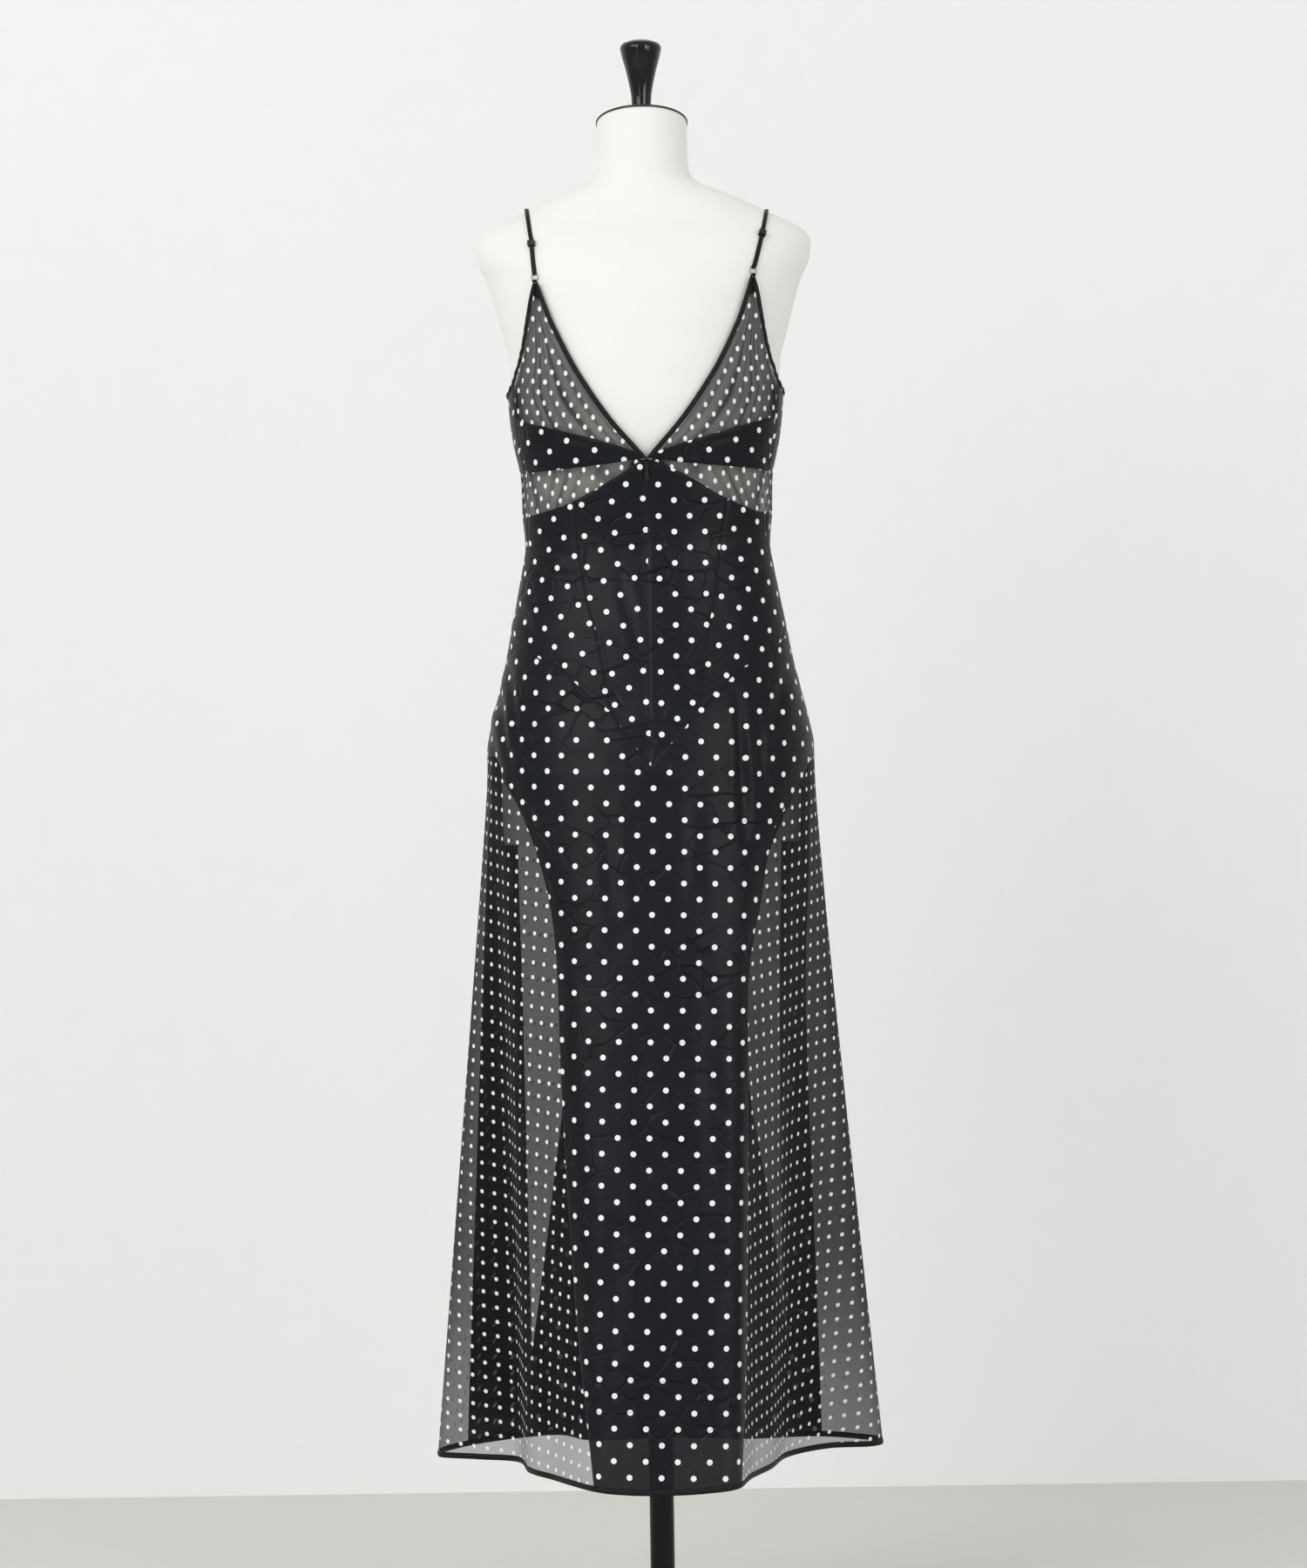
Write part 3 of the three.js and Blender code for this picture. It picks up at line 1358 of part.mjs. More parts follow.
const leftSeams = addBackPieces("left", "L");
const rightSeams = addBackPieces("right", "R");
addSkirtBack(leftSeams, rightSeams);
addSideSheer("L", leftSeams);
addSideSheer("R", rightSeams);
const leftFront = frontSeamsOf("left");
const rightFront = frontSeamsOf("right");
addFrontPieces("L", leftSeams, leftFront);
addFrontPieces("R", rightSeams, rightFront);
addFrontCentre(leftSeams, rightSeams, leftFront, rightFront);
addForm();
addStrap("left", "L");
addStrap("right", "R");
addZip();

export default part;
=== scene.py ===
# The looks of a dotted slip dress on a limbless dress form, seen from its back.
# Millimetres in the tables, metres in the meshes. The back faces -Y, +X is on the viewer's right.
import json
import math
import bpy
import numpy as np
from mathutils import Matrix, Vector


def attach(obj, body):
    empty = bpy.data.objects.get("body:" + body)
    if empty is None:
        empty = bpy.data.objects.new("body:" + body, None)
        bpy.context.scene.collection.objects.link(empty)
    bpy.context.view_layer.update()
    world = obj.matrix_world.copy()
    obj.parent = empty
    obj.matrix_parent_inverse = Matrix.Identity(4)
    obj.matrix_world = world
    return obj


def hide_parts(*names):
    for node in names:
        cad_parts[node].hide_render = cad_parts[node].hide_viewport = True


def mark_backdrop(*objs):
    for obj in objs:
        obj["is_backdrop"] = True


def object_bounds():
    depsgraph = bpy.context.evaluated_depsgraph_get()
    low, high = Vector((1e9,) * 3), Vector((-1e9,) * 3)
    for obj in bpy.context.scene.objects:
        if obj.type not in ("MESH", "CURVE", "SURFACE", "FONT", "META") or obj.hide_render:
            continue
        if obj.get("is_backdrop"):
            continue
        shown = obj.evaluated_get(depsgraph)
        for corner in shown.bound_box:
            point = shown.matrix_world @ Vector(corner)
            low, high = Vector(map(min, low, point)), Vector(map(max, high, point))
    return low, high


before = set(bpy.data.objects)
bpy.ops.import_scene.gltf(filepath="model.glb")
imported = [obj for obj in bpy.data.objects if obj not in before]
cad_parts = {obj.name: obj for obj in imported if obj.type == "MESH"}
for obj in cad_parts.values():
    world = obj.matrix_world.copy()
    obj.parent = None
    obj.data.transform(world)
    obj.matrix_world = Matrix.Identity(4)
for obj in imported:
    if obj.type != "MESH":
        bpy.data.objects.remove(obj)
bpy.ops.object.select_all(action="DESELECT")
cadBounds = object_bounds()
scene = bpy.context.scene
dressBody = "dress_on_form"
mm = 0.001
print("stage: frame loaded")

# The dress's own sizes
squareness = 2.2
formSquareness = 2.1
hipZ, hemZ, cornerZ, basquePointZ = 960, 205, 984, 969
zipTopZ, vBottomZ, bandInnerZ, bandSideZ = 1298.6, 1299.3, 1306.5, 1347
underbustSideZ, bodiceSideZ, basqueSideZ, seamTurnZ = 1288, 1241, 1120, 880
backApex = {-1: (116.6, 1490.5), 1: (116.8, 1494)}
frontApex = (100, 1452)
apexHalf, bindingWidth, narrowBinding, taperLength = 2.45, 4.6, 2.3, 26
hemSideRise, hemFrontRise, hipSoftness = 12, 5, 30.0
princessTopZ, princessLowZ = 1256, 1027
insetTopZ, insetBottomZ = 940, 312
armholeSideZ, cupCentreZ, frontBodiceCentreZ = 1381, 1302, 1299.5
frontPrincessAngle, frontPrincessTopZ = 140, 1254

# z, width, back, front
clothSections = [
    (1500, 175.5, 104, 90), (1480, 169.5, 107.5, 98), (1450, 160.5, 109.5, 113), (1410, 151.5, 109, 128),
    (1370, 150, 106.5, 133), (1340, 147.5, 103, 129), (1320, 144.5, 99, 122), (1282, 137, 90, 106),
    (1245, 136, 84, 99), (1210, 133.4, 80.5, 96), (1187, 136.8, 82, 97), (1130, 147.7, 93, 103),
    (1074, 159, 110, 112), (1016, 173.5, 127, 119), (990, 178, 131, 121), (960, 178, 134, 123),
]
# angle, x, y
hemOutline = [
    (-166, -40, 196), (-154, -84, 192), (-146, -112, 232), (-137, -144, 216), (-120, -197, 152),
    (-103, -238, 72), (-92, -243, 22), (-82, -200, 0), (-74, -155, -22), (-66, -142, -98),
    (-52, -115, -142), (-34, -72, -208), (-15, -35, -220), (0, 0, -221), (22, 48, -221), (40, 82, -210),
    (50, 96, -150), (58, 118, -88), (68, 138, -6), (80, 184, 50), (92, 232, 58), (102, 247, 86),
    (118, 229, 130), (136, 174, 180), (152, 99, 180), (166, 46, 200), (180, 0, 213),
]
# Seams, as z, left, right
backNeckline = [(1440, 95, 96), (1393, 71, 72), (1339, 34.5, 34.5), (1299.3, 0, 0)]
bandTop = [(1317.5, 45, 46), (1327.5, 79, 80), (1337, 114, 112)]
bandBottom = [(1294.5, 38, 40), (1291.5, 70, 79), (1289.5, 98, 108)]
bodiceTop = [
    (1298.6, 0, 0), (1296.6, 7, 8), (1286, 24, 33), (1274, 44, 55), (1260.5, 69, 78), (1251, 91, 99),
    (1244.5, 116, 116),
]
princessSeam = [(1210, 77, 79), (1160, 69, 73), (1117, 58, 64), (1075, 49, 57)]
basqueSeam = [(969, 0, 0), (988, 15, 17), (1007, 29, 35), (1027, 41, 49), (1048, 68, 73), (1074, 97, 101)]
skirtBackSeam = [
    (982, 172, 174), (964, 158, 168), (942, 147.5, 154), (910, 134, 133), (880, 122, 125),
    (820, 109, 115), (764, 104, 102), (646, 101, 99), (500, 95, 97), (354, 85, 93), (205, 71, 85),
]
frontNeckline = [(1388, 62, 62), (1348, 29, 29), (1322, 0, 0)]
frontPrincessSeam = [(1190, 74, 74), (1110, 60, 60)]
frontBasqueSeam = [(969, 0, 0), (1000, 25, 25), (1027, 45, 45), (1062, 86, 86), (1100, 130, 130)]
skirtFrontSeam = [
    (984, 171, 171), (962, 160, 160), (940, 148, 146), (910, 134, 132), (860, 116, 114), (764, 101, 99),
    (646, 100, 100), (500, 117, 122), (400, 131, 136), (300, 146, 146), (205, 157, 157),
]
insetOuterSeam = [(900, 149, 144), (700, 147, 140), (400, 145, 139)]
sideSeam = [
    (1400, 74, 74), (1290, 76, 76), (1241, 78, 77), (1180, 85, 84), (1120, 91, 91), (984, 98, 98),
    (900, 100, 106), (712, 105, 120), (500, 109, 127), (205, 113, 134),
]
# angle, z
armhole = [(62, 1443), (69, 1410), (77, 1386), (88, 1377), (100, 1382), (116, 1410)]
# z, width, back, front
formSections = [
    (1682, 49, 50, 47), (1640, 49.5, 50.5, 47), (1616, 51, 53, 48), (1604, 62, 55, 49),
    (1594, 88, 57, 50), (1582, 116, 60, 51), (1570, 139, 64, 53), (1560, 161, 68, 56),
    (1550, 176, 75, 60), (1538, 183, 84, 66), (1520, 181, 93, 76), (1499, 171.5, 100, 87),
    (1476, 164.5, 104, 96), (1442, 155.5, 105.5, 113), (1410, 147.5, 105, 123), (1370, 145, 102, 128),
    (1330, 141, 95, 119), (1282, 127, 79, 96), (1230, 117, 70, 84), (1180, 125, 76, 86),
    (1130, 138.5, 86, 94), (1080, 150.5, 103, 104), (1030, 162, 117.5, 110.5), (930, 163, 122, 111),
    (886, 161, 119, 108),
]

# Steps along each seam that neighbours share
steps = dict(neck=21, armholeBack=15, armholeFront=24, upper=6, band=9, midriff=6, bodice=30, hip=9,
             hipCurve=12, skirt=30, across=27, centre=12, lead=3, frontHalf=12, cupCentre=6, cupNeck=33,
             backHem=60, hem=48, belowInset=6, inset=24, aboveTurn=6, insetAcross=8, sideFront=12, corner=6,
             frontCorner=3)
angleHalvings, easeRounds = 40, 1500


def smoothValue(rows, column, at):
    rows = sorted(rows)
    z = [r[0] for r in rows]
    v = [r[column] for r in rows]
    last = len(z) - 1
    if at <= z[0]:
        return v[0]
    if at >= z[last]:
        return v[last]
    i = int(np.searchsorted(z, at, "right")) - 1
    slope = lambda k: (v[k + 1] - v[k]) / (z[k + 1] - z[k])

    def tangent(k):
        if k in (0, last):
            return slope(0) if k == 0 else slope(last - 1)
        before, after = slope(k - 1), slope(k)
        return 0 if before * after <= 0 else 2 * before * after / (before + after)

    span = z[i + 1] - z[i]
    return hermite(v[i], v[i + 1], tangent(i) * span, tangent(i + 1) * span, (at - z[i]) / span)


def hermite(start, end, leave, arrive, share):
    s2, s3 = share ** 2, share ** 3
    blend = 3 * s2 - 2 * s3
    return start * (1 - blend) + end * blend + leave * (s3 - 2 * s2 + share) + arrive * (s3 - s2)


def roundValue(rows, column, angle):
    count = len(rows)
    at = (angle - rows[0][0]) % 360 + rows[0][0]
    row = lambda k: rows[k % count]
    place = lambda k: row(k)[0] + 360 * (k // count)
    i = count - 1
    while place(i) > at:
        i -= 1
    tangent = lambda k: (row(k + 1)[column] - row(k - 1)[column]) / (place(k + 1) - place(k - 1))
    span = place(i + 1) - place(i)
    share = (at - place(i)) / span
    return hermite(row(i)[column], row(i + 1)[column], tangent(i) * span, tangent(i + 1) * span, share)


heightSamples = np.arange(120.0, 1700.0)
angleSamples = np.arange(-180.0, 180.25, 0.25)
clothTables = [[smoothValue(clothSections, c, z) for z in heightSamples] for c in (1, 2, 3)]
formTables = [[smoothValue(formSections, c, z) for z in heightSamples] for c in (1, 2, 3)]
hemTables = [[roundValue(hemOutline, c, a) for a in angleSamples] for c in (1, 2)]


def sizesAt(tables, z):
    return [np.interp(z, heightSamples, t) for t in tables]


def ovalPoint(tables, angle, z, square):
    width, back, front = sizesAt(tables, z)
    side, along = np.sin(np.radians(angle)), np.cos(np.radians(angle))
    depth = np.where(along > 0, back, front)
    radius = ((np.abs(side) / width) ** square + (np.abs(along) / depth) ** square) ** (-1 / square)
    return radius * side, -radius * along


def clothXyz(places):
    angle, z = places[..., 0], places[..., 1]
    x, y = ovalPoint(clothTables, angle, z, squareness)
    # The straight flare starts softly at the hip
    drop, soft = hipZ - z, hipSoftness
    eased = np.where(drop > soft, drop, np.maximum(drop + soft, 0) ** 2 / (4 * soft))
    flare = eased / (hipZ - hemZ)
    around = (angle + 180) % 360 - 180
    hemX = np.interp(around, angleSamples, hemTables[0])
    hemY = np.interp(around, angleSamples, hemTables[1])
    return np.stack([x + (hemX - x) * flare, y + (hemY - y) * flare, z], -1)


def unit(v):
    return v / np.maximum(np.linalg.norm(v, axis=-1, keepdims=True), 1e-9)


def slopes(places, step=0.5):
    ahead, higher = np.array([step, 0]), np.array([0, step])
    around = (clothXyz(places + ahead) - clothXyz(places - ahead)) / (2 * step)
    upward = (clothXyz(places + higher) - clothXyz(places - higher)) / (2 * step)
    return around, upward


def clothNormals(places):
    around, upward = slopes(places)
    return unit(np.cross(around, upward))


def hemHeight(angle):
    turn = np.radians(angle)
    return hemZ + hemSideRise * np.sin(turn) ** 2 + hemFrontRise * np.maximum(-np.cos(turn), 0) ** 2


# Seams are arrays of places: angle from the centre back, and height
def angleAt(sign, distance, z, face):
    distance, z = np.atleast_1d(distance).astype(float), np.atleast_1d(z).astype(float)
    inner = np.full(z.shape, 0.0 if face == "back" else 180.0 * sign)
    outer = np.full(z.shape, 90.0 * sign)
    for _ in range(angleHalvings):
        middle = (inner + outer) / 2
        near = np.abs(clothXyz(np.stack([middle, z], -1))[:, 0]) < distance
        inner, outer = np.where(near, middle, inner), np.where(near, outer, middle)
    return (inner + outer) / 2


def placesOf(rows, sign, face):
    z = np.array([r[0] for r in rows], float)
    far = np.array([r[1 if sign < 0 else 2] for r in rows], float)
    return np.stack([angleAt(sign, far, z, face), z], -1)


def smoothed(p, perSpan=8):
    p = np.vstack([2 * p[0] - p[1], p, 2 * p[-1] - p[-2]])
    out = []
    for i in range(1, len(p) - 2):
        d0, d1, d2 = (max(np.linalg.norm(p[i + k] - p[i + k - 1]), 1e-6) ** 0.5 for k in (0, 1, 2))
        t1 = ((p[i] - p[i - 1]) / d0 - (p[i + 1] - p[i - 1]) / (d0 + d1) + (p[i + 1] - p[i]) / d1) * d1
        t2 = ((p[i + 1] - p[i]) / d1 - (p[i + 2] - p[i]) / (d1 + d2) + (p[i + 2] - p[i + 1]) / d2) * d1
        for k in range(perSpan):
            out.append(hermite(p[i], p[i + 1], t1, t2, k / perSpan))
    out.append(p[-2])
    return np.array(out)


def joined(*lists):
    return np.vstack([lists[0]] + [l[1:] for l in lists[1:]])


def run(a, b, count):
    share = np.linspace(0, 1, count + 1)[:, None]
    return np.asarray(a) * (1 - share) + np.asarray(b) * share


def lengthsAlong(points):
    gaps = np.linalg.norm(np.diff(points, axis=0), axis=1)
    return np.concatenate([[0], np.cumsum(gaps)])


def tangentsOf(points):
    return unit(np.vstack([points[1] - points[0], points[2:] - points[:-2], points[-1] - points[-2]]))


def picked(p, at, count):
    wanted = np.linspace(0, at[-1], count + 1)
    return np.stack([np.interp(wanted, at, p[:, 0]), np.interp(wanted, at, p[:, 1])], -1)


def evenSteps(p, count):
    return picked(p, lengthsAlong(clothXyz(p)), count)


def resampled(p, count):
    return picked(p, np.linspace(0, 1, len(p)), count)


def splitWhere(p, key, limit):
    value = np.abs(p[:, 0]) if key == "angle" else p[:, 1]
    past = value >= limit if value[-1] > value[0] else value <= limit
    i = int(np.argmax(past))
    share = (limit - value[i - 1]) / (value[i] - value[i - 1])
    cut = p[i - 1] * (1 - share) + p[i] * share
    return np.vstack([p[:i], cut]), np.vstack([cut, p[i:]])


def shifted(p, widthAt):
    points = clothXyz(p)
    lengths = lengthsAlong(points)
    width = np.array([widthAt(at, lengths[-1]) for at in lengths])
    move = np.cross(clothNormals(p), tangentsOf(points)) * width[:, None]
    around, upward = slopes(p)
    aa, uu, au = (around ** 2).sum(1), (upward ** 2).sum(1), (around * upward).sum(1)
    ma, mu = (move * around).sum(1), (move * upward).sum(1)
    below = aa * uu - au ** 2
    return p + np.stack([(ma * uu - mu * au) / below, (mu * aa - ma * au) / below], -1)


def bindingWidthAt(fromTip):
    share = min(max(fromTip, 0) / taperLength, 1)
    return narrowBinding + (bindingWidth - narrowBinding) * share


def sidePlace(sign, z):
    return np.array([sign * smoothValue(sideSeam, 1 if sign < 0 else 2, z), z])


def sideRun(sign, low, high, count, samples=25):
    return evenSteps(np.array([sidePlace(sign, z) for z in np.linspace(low, high, samples)]), count)


def tipPlace(sign, apex, face, outward):
    x, z = apex
    return np.array([angleAt(sign, x + outward * apexHalf, z, face)[0], z])


def skirtSeam(rows, sign, face):
    p = placesOf(rows, sign, face)
    p[-1, 1] = hemHeight(p[-1, 0])
    return smoothed(p)[::-1]


def hemRun(start, end, count, samples=241):
    angle = np.linspace(start, end, samples)
    return evenSteps(np.stack([angle, hemHeight(angle)], -1), count)


def cutRun(p, cuts, counts):
    out = []
    for z, count in zip(cuts, counts):
        low, p = splitWhere(p, "z", z)
        out.append(evenSteps(low, count))
    return out + [evenSteps(p, counts[-1])]


def backNeck(sign):
    tip = tipPlace(sign, backApex[sign], "back", -1)
    outer = smoothed(np.vstack([tip, placesOf(backNeckline, sign, "back")]))
    whole = shifted(outer, lambda at, _: sign * bindingWidthAt(at))
    inner = splitWhere(whole, "z", vBottomZ)[0]
    upper, lower = splitWhere(inner, "z", bandInnerZ)
    return dict(outer=outer, inner=inner, upper=evenSteps(upper, steps["neck"]),
                lower=evenSteps(lower, steps["band"]))


def frontNeck(sign):
    tip = tipPlace(sign, frontApex, "front", -1)
    outer = smoothed(np.vstack([tip, placesOf(frontNeckline, sign, "front")]))
    inner = shifted(outer, lambda at, _: -sign * bindingWidthAt(at))
    points = clothXyz(outer[-2:])
    tangent = unit(points[1] - points[0])
    inner[-1] = [outer[-1, 0], outer[-1, 1] - bindingWidth / abs(tangent[0])]
    return dict(outer=outer, inner=evenSteps(inner, steps["cupNeck"]))


def armholeEdge(sign):
    backTip, frontTip = tipPlace(sign, backApex[sign], "back", 1), tipPlace(sign, frontApex, "front", 1)
    middle = np.array([(sign * a, z) for a, z in armhole], float)
    outer = smoothed(np.vstack([backTip, middle, frontTip]))
    inner = shifted(outer, lambda at, whole: -sign * bindingWidthAt(min(at, whole - at)))
    back, front = splitWhere(inner, "angle", abs(sidePlace(sign, armholeSideZ)[0]))
    return dict(outer=outer, inner=inner, back=evenSteps(back, steps["armholeBack"]),
                front=evenSteps(front, steps["armholeFront"]))


class Seams:
    pass


def seamsOf(sign):
    s = Seams()
    s.neck, s.arm, s.frontNeck = backNeck(sign), armholeEdge(sign), frontNeck(sign)
    neckEnd = s.neck["lower"][-1]
    bandSide, underbust = sidePlace(sign, bandSideZ), sidePlace(sign, underbustSideZ)
    bodiceSide, basqueSide = sidePlace(sign, bodiceSideZ), sidePlace(sign, basqueSideZ)
    s.upper = run(bandSide, s.arm["back"][-1], steps["upper"])
    s.band = sideRun(sign, underbustSideZ, bandSideZ, steps["band"])
    s.midriff = sideRun(sign, bodiceSideZ, underbustSideZ, steps["midriff"])
    s.bodice = sideRun(sign, basqueSideZ, bodiceSideZ, steps["bodice"])
    s.hip = sideRun(sign, cornerZ, basqueSideZ, steps["hip"])
    low = hemHeight(sidePlace(sign, hemZ)[0])
    s.skirt = joined(sideRun(sign, low, seamTurnZ, steps["skirt"]),
                        sideRun(sign, seamTurnZ, cornerZ, steps["hipCurve"]))
    line = lambda rows, start, end: smoothed(np.vstack([start, placesOf(rows, sign, "back"), end]))
    s.bandTop = evenSteps(line(bandTop, s.neck["upper"][-1], bandSide), steps["across"])
    s.bandBottom = evenSteps(line(bandBottom, neckEnd, underbust), steps["across"])
    top = smoothed(np.vstack([placesOf(bodiceTop, sign, "back"), bodiceSide]))
    lead, rest = splitWhere(top, "angle", abs(neckEnd[0]))
    centre, side = splitWhere(rest, "z", princessTopZ)
    s.topLead, s.topCentre = evenSteps(lead, steps["lead"]), evenSteps(centre, steps["centre"])
    s.topSide = evenSteps(side, steps["across"] - steps["centre"])
    basque = smoothed(np.vstack([placesOf(basqueSeam, sign, "back"), basqueSide]))
    basqueIn, basqueOut = splitWhere(basque, "z", princessLowZ)
    s.basqueCentre = evenSteps(basqueIn, steps["centre"] + steps["lead"])
    s.basqueSide = evenSteps(basqueOut, steps["across"] - steps["centre"])
    s.princess = evenSteps(line(princessSeam[::-1], basqueIn[-1], centre[-1]), steps["bodice"])
    counts = [steps["skirt"], steps["hipCurve"]]
    skirtLow, skirtHigh = cutRun(skirtSeam(skirtBackSeam, sign, "back"), [seamTurnZ], counts)
    s.skirtBack = joined(skirtLow, skirtHigh)
    s.cornerBack = run(skirtHigh[-1], sidePlace(sign, cornerZ), steps["corner"])
    frontSeams(sign, s, bodiceSide, basqueSide)
    return s


def frontSeams(sign, s, bodiceSide, basqueSide):
    half = steps["frontHalf"]
    middle = np.array([sign * 180, frontBodiceCentreZ])
    joint = np.array([frontPrincessAngle * sign, frontPrincessTopZ])
    s.underbust = run(sidePlace(sign, underbustSideZ), [sign * 180, cupCentreZ], half * 2)
    s.frontTopSide, s.frontTopCentre = run(bodiceSide, joint, half), run(joint, middle, half)
    basque = smoothed(np.vstack([placesOf(frontBasqueSeam, sign, "front"), basqueSide]))
    centre, side = splitWhere(basque, "z", princessLowZ)
    s.frontBasqueCentre, s.frontBasqueSide = evenSteps(centre, half), evenSteps(side, half)
    princess = smoothed(np.vstack([centre[-1], placesOf(frontPrincessSeam, sign, "front")[::-1], joint]))
    s.frontPrincess = evenSteps(princess, steps["bodice"])
    cuts = [insetBottomZ, seamTurnZ, insetTopZ]
    counts = [steps["belowInset"], steps["inset"], steps["aboveTurn"], steps["aboveTurn"]]
    below, low, high, above = cutRun(skirtSeam(skirtFrontSeam, sign, "front"), cuts, counts)
    outer = smoothed(np.vstack([below[-1], placesOf(insetOuterSeam, sign, "front")[::-1], above[0]]))
    s.belowInset, s.aboveInset, s.insetInner = below, above, joined(low, high)
    s.insetOuter = joined(*cutRun(outer, [seamTurnZ], [steps["inset"], steps["aboveTurn"]]))
    s.cornerFront = run(above[-1], sidePlace(sign, cornerZ), steps["frontCorner"])


def pastCentre(p):
    return np.stack([np.where(p[:, 0] < 0, p[:, 0] + 360, p[:, 0]), p[:, 1]], -1)


def placeGrid(start, end, bottom, top, ease=False, finer=1):
    u = np.linspace(0, 1, len(bottom))[:, None, None]
    v = np.linspace(0, 1, len(start))[None, :, None]
    grid = start[None] * (1 - u) + end[None] * u + bottom[:, None] * (1 - v) + top[:, None] * v
    grid -= (start[0] * (1 - u) + end[0] * u) * (1 - v) + (start[-1] * (1 - u) + end[-1] * u) * v
    if ease:
        for _ in range(easeRounds):
            grid[1:-1, 1:-1] = (grid[2:, 1:-1] + grid[:-2, 1:-1] + grid[1:-1, 2:] + grid[1:-1, :-2]) / 4
    for axis in (0, 1):
        grid = np.moveaxis(np.apply_along_axis(stretch, axis, grid, finer), axis, axis)
    return grid


def stretch(values, finer):
    at = np.arange(len(values))
    return np.interp(np.linspace(0, len(values) - 1, (len(values) - 1) * finer + 1), at, values)


# Length round the dress from the centre back, for the cloth's own map
mapStep, centreBack, centreFront = 5.0, 200, 380
mapZ, mapAngle = np.arange(190.0, 1510.0, mapStep), np.arange(-200.0, 381.0, 1.0)
mapPoints = clothXyz(np.stack(np.meshgrid(mapAngle, mapZ), -1))
mapGaps = np.linalg.norm(np.diff(mapPoints, axis=1), axis=2)
mapLength = np.concatenate([np.zeros((len(mapZ), 1)), np.cumsum(mapGaps, 1)], 1)
mapLength -= mapLength[:, [centreBack]]


def lengthAround(places, face):
    angle, z = places[..., 0], places[..., 1]
    column = np.clip(angle - mapAngle[0], 0, len(mapAngle) - 1.001)
    row = np.clip((z - mapZ[0]) / mapStep, 0, len(mapZ) - 1.001)
    c, r = column.astype(int), row.astype(int)
    cs, rs = column - c, row - r
    low = mapLength[r, c] * (1 - cs) + mapLength[r, c + 1] * cs
    high = mapLength[r + 1, c] * (1 - cs) + mapLength[r + 1, c + 1] * cs
    out = low * (1 - rs) + high * rs
    if face == "front":
        out -= mapLength[r, centreFront] * (1 - rs) + mapLength[r + 1, centreFront] * rs
    return out


# Building meshes and materials
def newMesh(name, points, faces, material, uv=None, flip=False, fold=None):
    mesh = bpy.data.meshes.new(name)
    if flip:
        faces = [f[::-1] for f in faces]
    mesh.from_pydata([tuple(p) for p in np.asarray(points) * mm], [], faces)
    mesh.update()
    if uv is not None:
        layer = mesh.uv_layers.new(name="weave")
        index = np.zeros(len(mesh.loops), np.int32)
        mesh.loops.foreach_get("vertex_index", index)
        layer.data.foreach_set("uv", (np.asarray(uv)[index] * mm).ravel())
    if fold is not None:
        layer = mesh.attributes.new("fold", "FLOAT", "POINT")
        layer.data.foreach_set("value", np.asarray(fold, np.float32).ravel())
    mesh.polygons.foreach_set("use_smooth", [True] * len(mesh.polygons))
    obj = bpy.data.objects.new(name, mesh)
    scene.collection.objects.link(obj)
    mesh.materials.append(material)
    return obj


# Everything but the pull rides on the dress's body, in place of its node if it has one
def place(obj, node, slot):
    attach(obj, dressBody)
    if node:
        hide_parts(node)
    return obj


def gridFaces(across, up):
    at = lambda i, j: i * (up + 1) + j
    return [(at(i, j), at(i + 1, j), at(i + 1, j + 1), at(i, j + 1))
            for i in range(across) for j in range(up)]


class Nodes:
    def __init__(self, name):
        self.material = bpy.data.materials.new(name)
        self.material.use_nodes = True
        self.tree = self.material.node_tree
        self.shader = self.tree.nodes["Principled BSDF"]

    def add(self, kind, **settings):
        node = self.tree.nodes.new("ShaderNode" + kind)
        for key, value in settings.items():
            setattr(node, key, value)
        return node

    def put(self, socket, value):
        if isinstance(value, bpy.types.NodeSocket):
            self.tree.links.new(value, socket)
        else:
            socket.default_value = value

    def fill(self, node, values):
        for key, value in values.items():
            self.put(node.inputs[key], value)
        return node

    def math(self, operation, a, b=0.0):
        return self.fill(self.add("Math", operation=operation), {0: a, 1: b}).outputs[0]

    def vector(self, operation, a, b=(0, 0, 0)):
        node = self.fill(self.add("VectorMath", operation=operation), {0: a, 1: b})
        return node.outputs["Value" if operation == "LENGTH" else "Vector"]

    def mixColor(self, share, a, b):
        return self.fill(self.add("Mix", data_type="RGBA"), {0: share, 6: a, 7: b}).outputs[2]

    def noise(self, vector, scale, detail=3.0, rough=0.5, distortion=0.0):
        return self.fill(self.add("TexNoise"), {
            "Vector": vector, "Scale": scale, "Detail": detail, "Roughness": rough,
            "Distortion": distortion}).outputs["Fac"]

    def bump(self, height, strength, distance, normal=None):
        node = self.fill(self.add("Bump"), {"Strength": strength, "Distance": distance, "Height": height})
        if normal is not None:
            self.put(node.inputs["Normal"], normal)
        return node.outputs["Normal"]

    def softStep(self, value, low, high):
        node = self.add("MapRange", interpolation_type="SMOOTHSTEP")
        return self.fill(node, {"Value": value, "From Min": low, "From Max": high}).outputs["Result"]

    # 1 inside a dot of the half-drop lattice, 0 outside, with a soft edge
    def dots(self, uv, period, diameter):
        scaled = self.vector("MULTIPLY", uv, (1 / period, 1 / period, 0))
        nearest = []
        for shift in (0.0, 0.5):
            cell = self.vector("FRACTION", self.vector("ADD", scaled, (shift, shift, 0)))
            flat = self.vector("MULTIPLY", self.vector("SUBTRACT", cell, (0.5, 0.5, 0)), (1, 1, 0))
            nearest.append(self.vector("LENGTH", flat))
        edge = diameter / period / 2
        return self.softStep(self.math("MINIMUM", *nearest), edge * 1.07, edge * 0.9)


# A colour given as sRGB 0 to 255
def tone(color):
    linear = [((v / 255 + 0.055) / 1.055) ** 2.4 if v > 10 else v / 255 / 12.92 for v in color]
    return (*linear, 1.0)


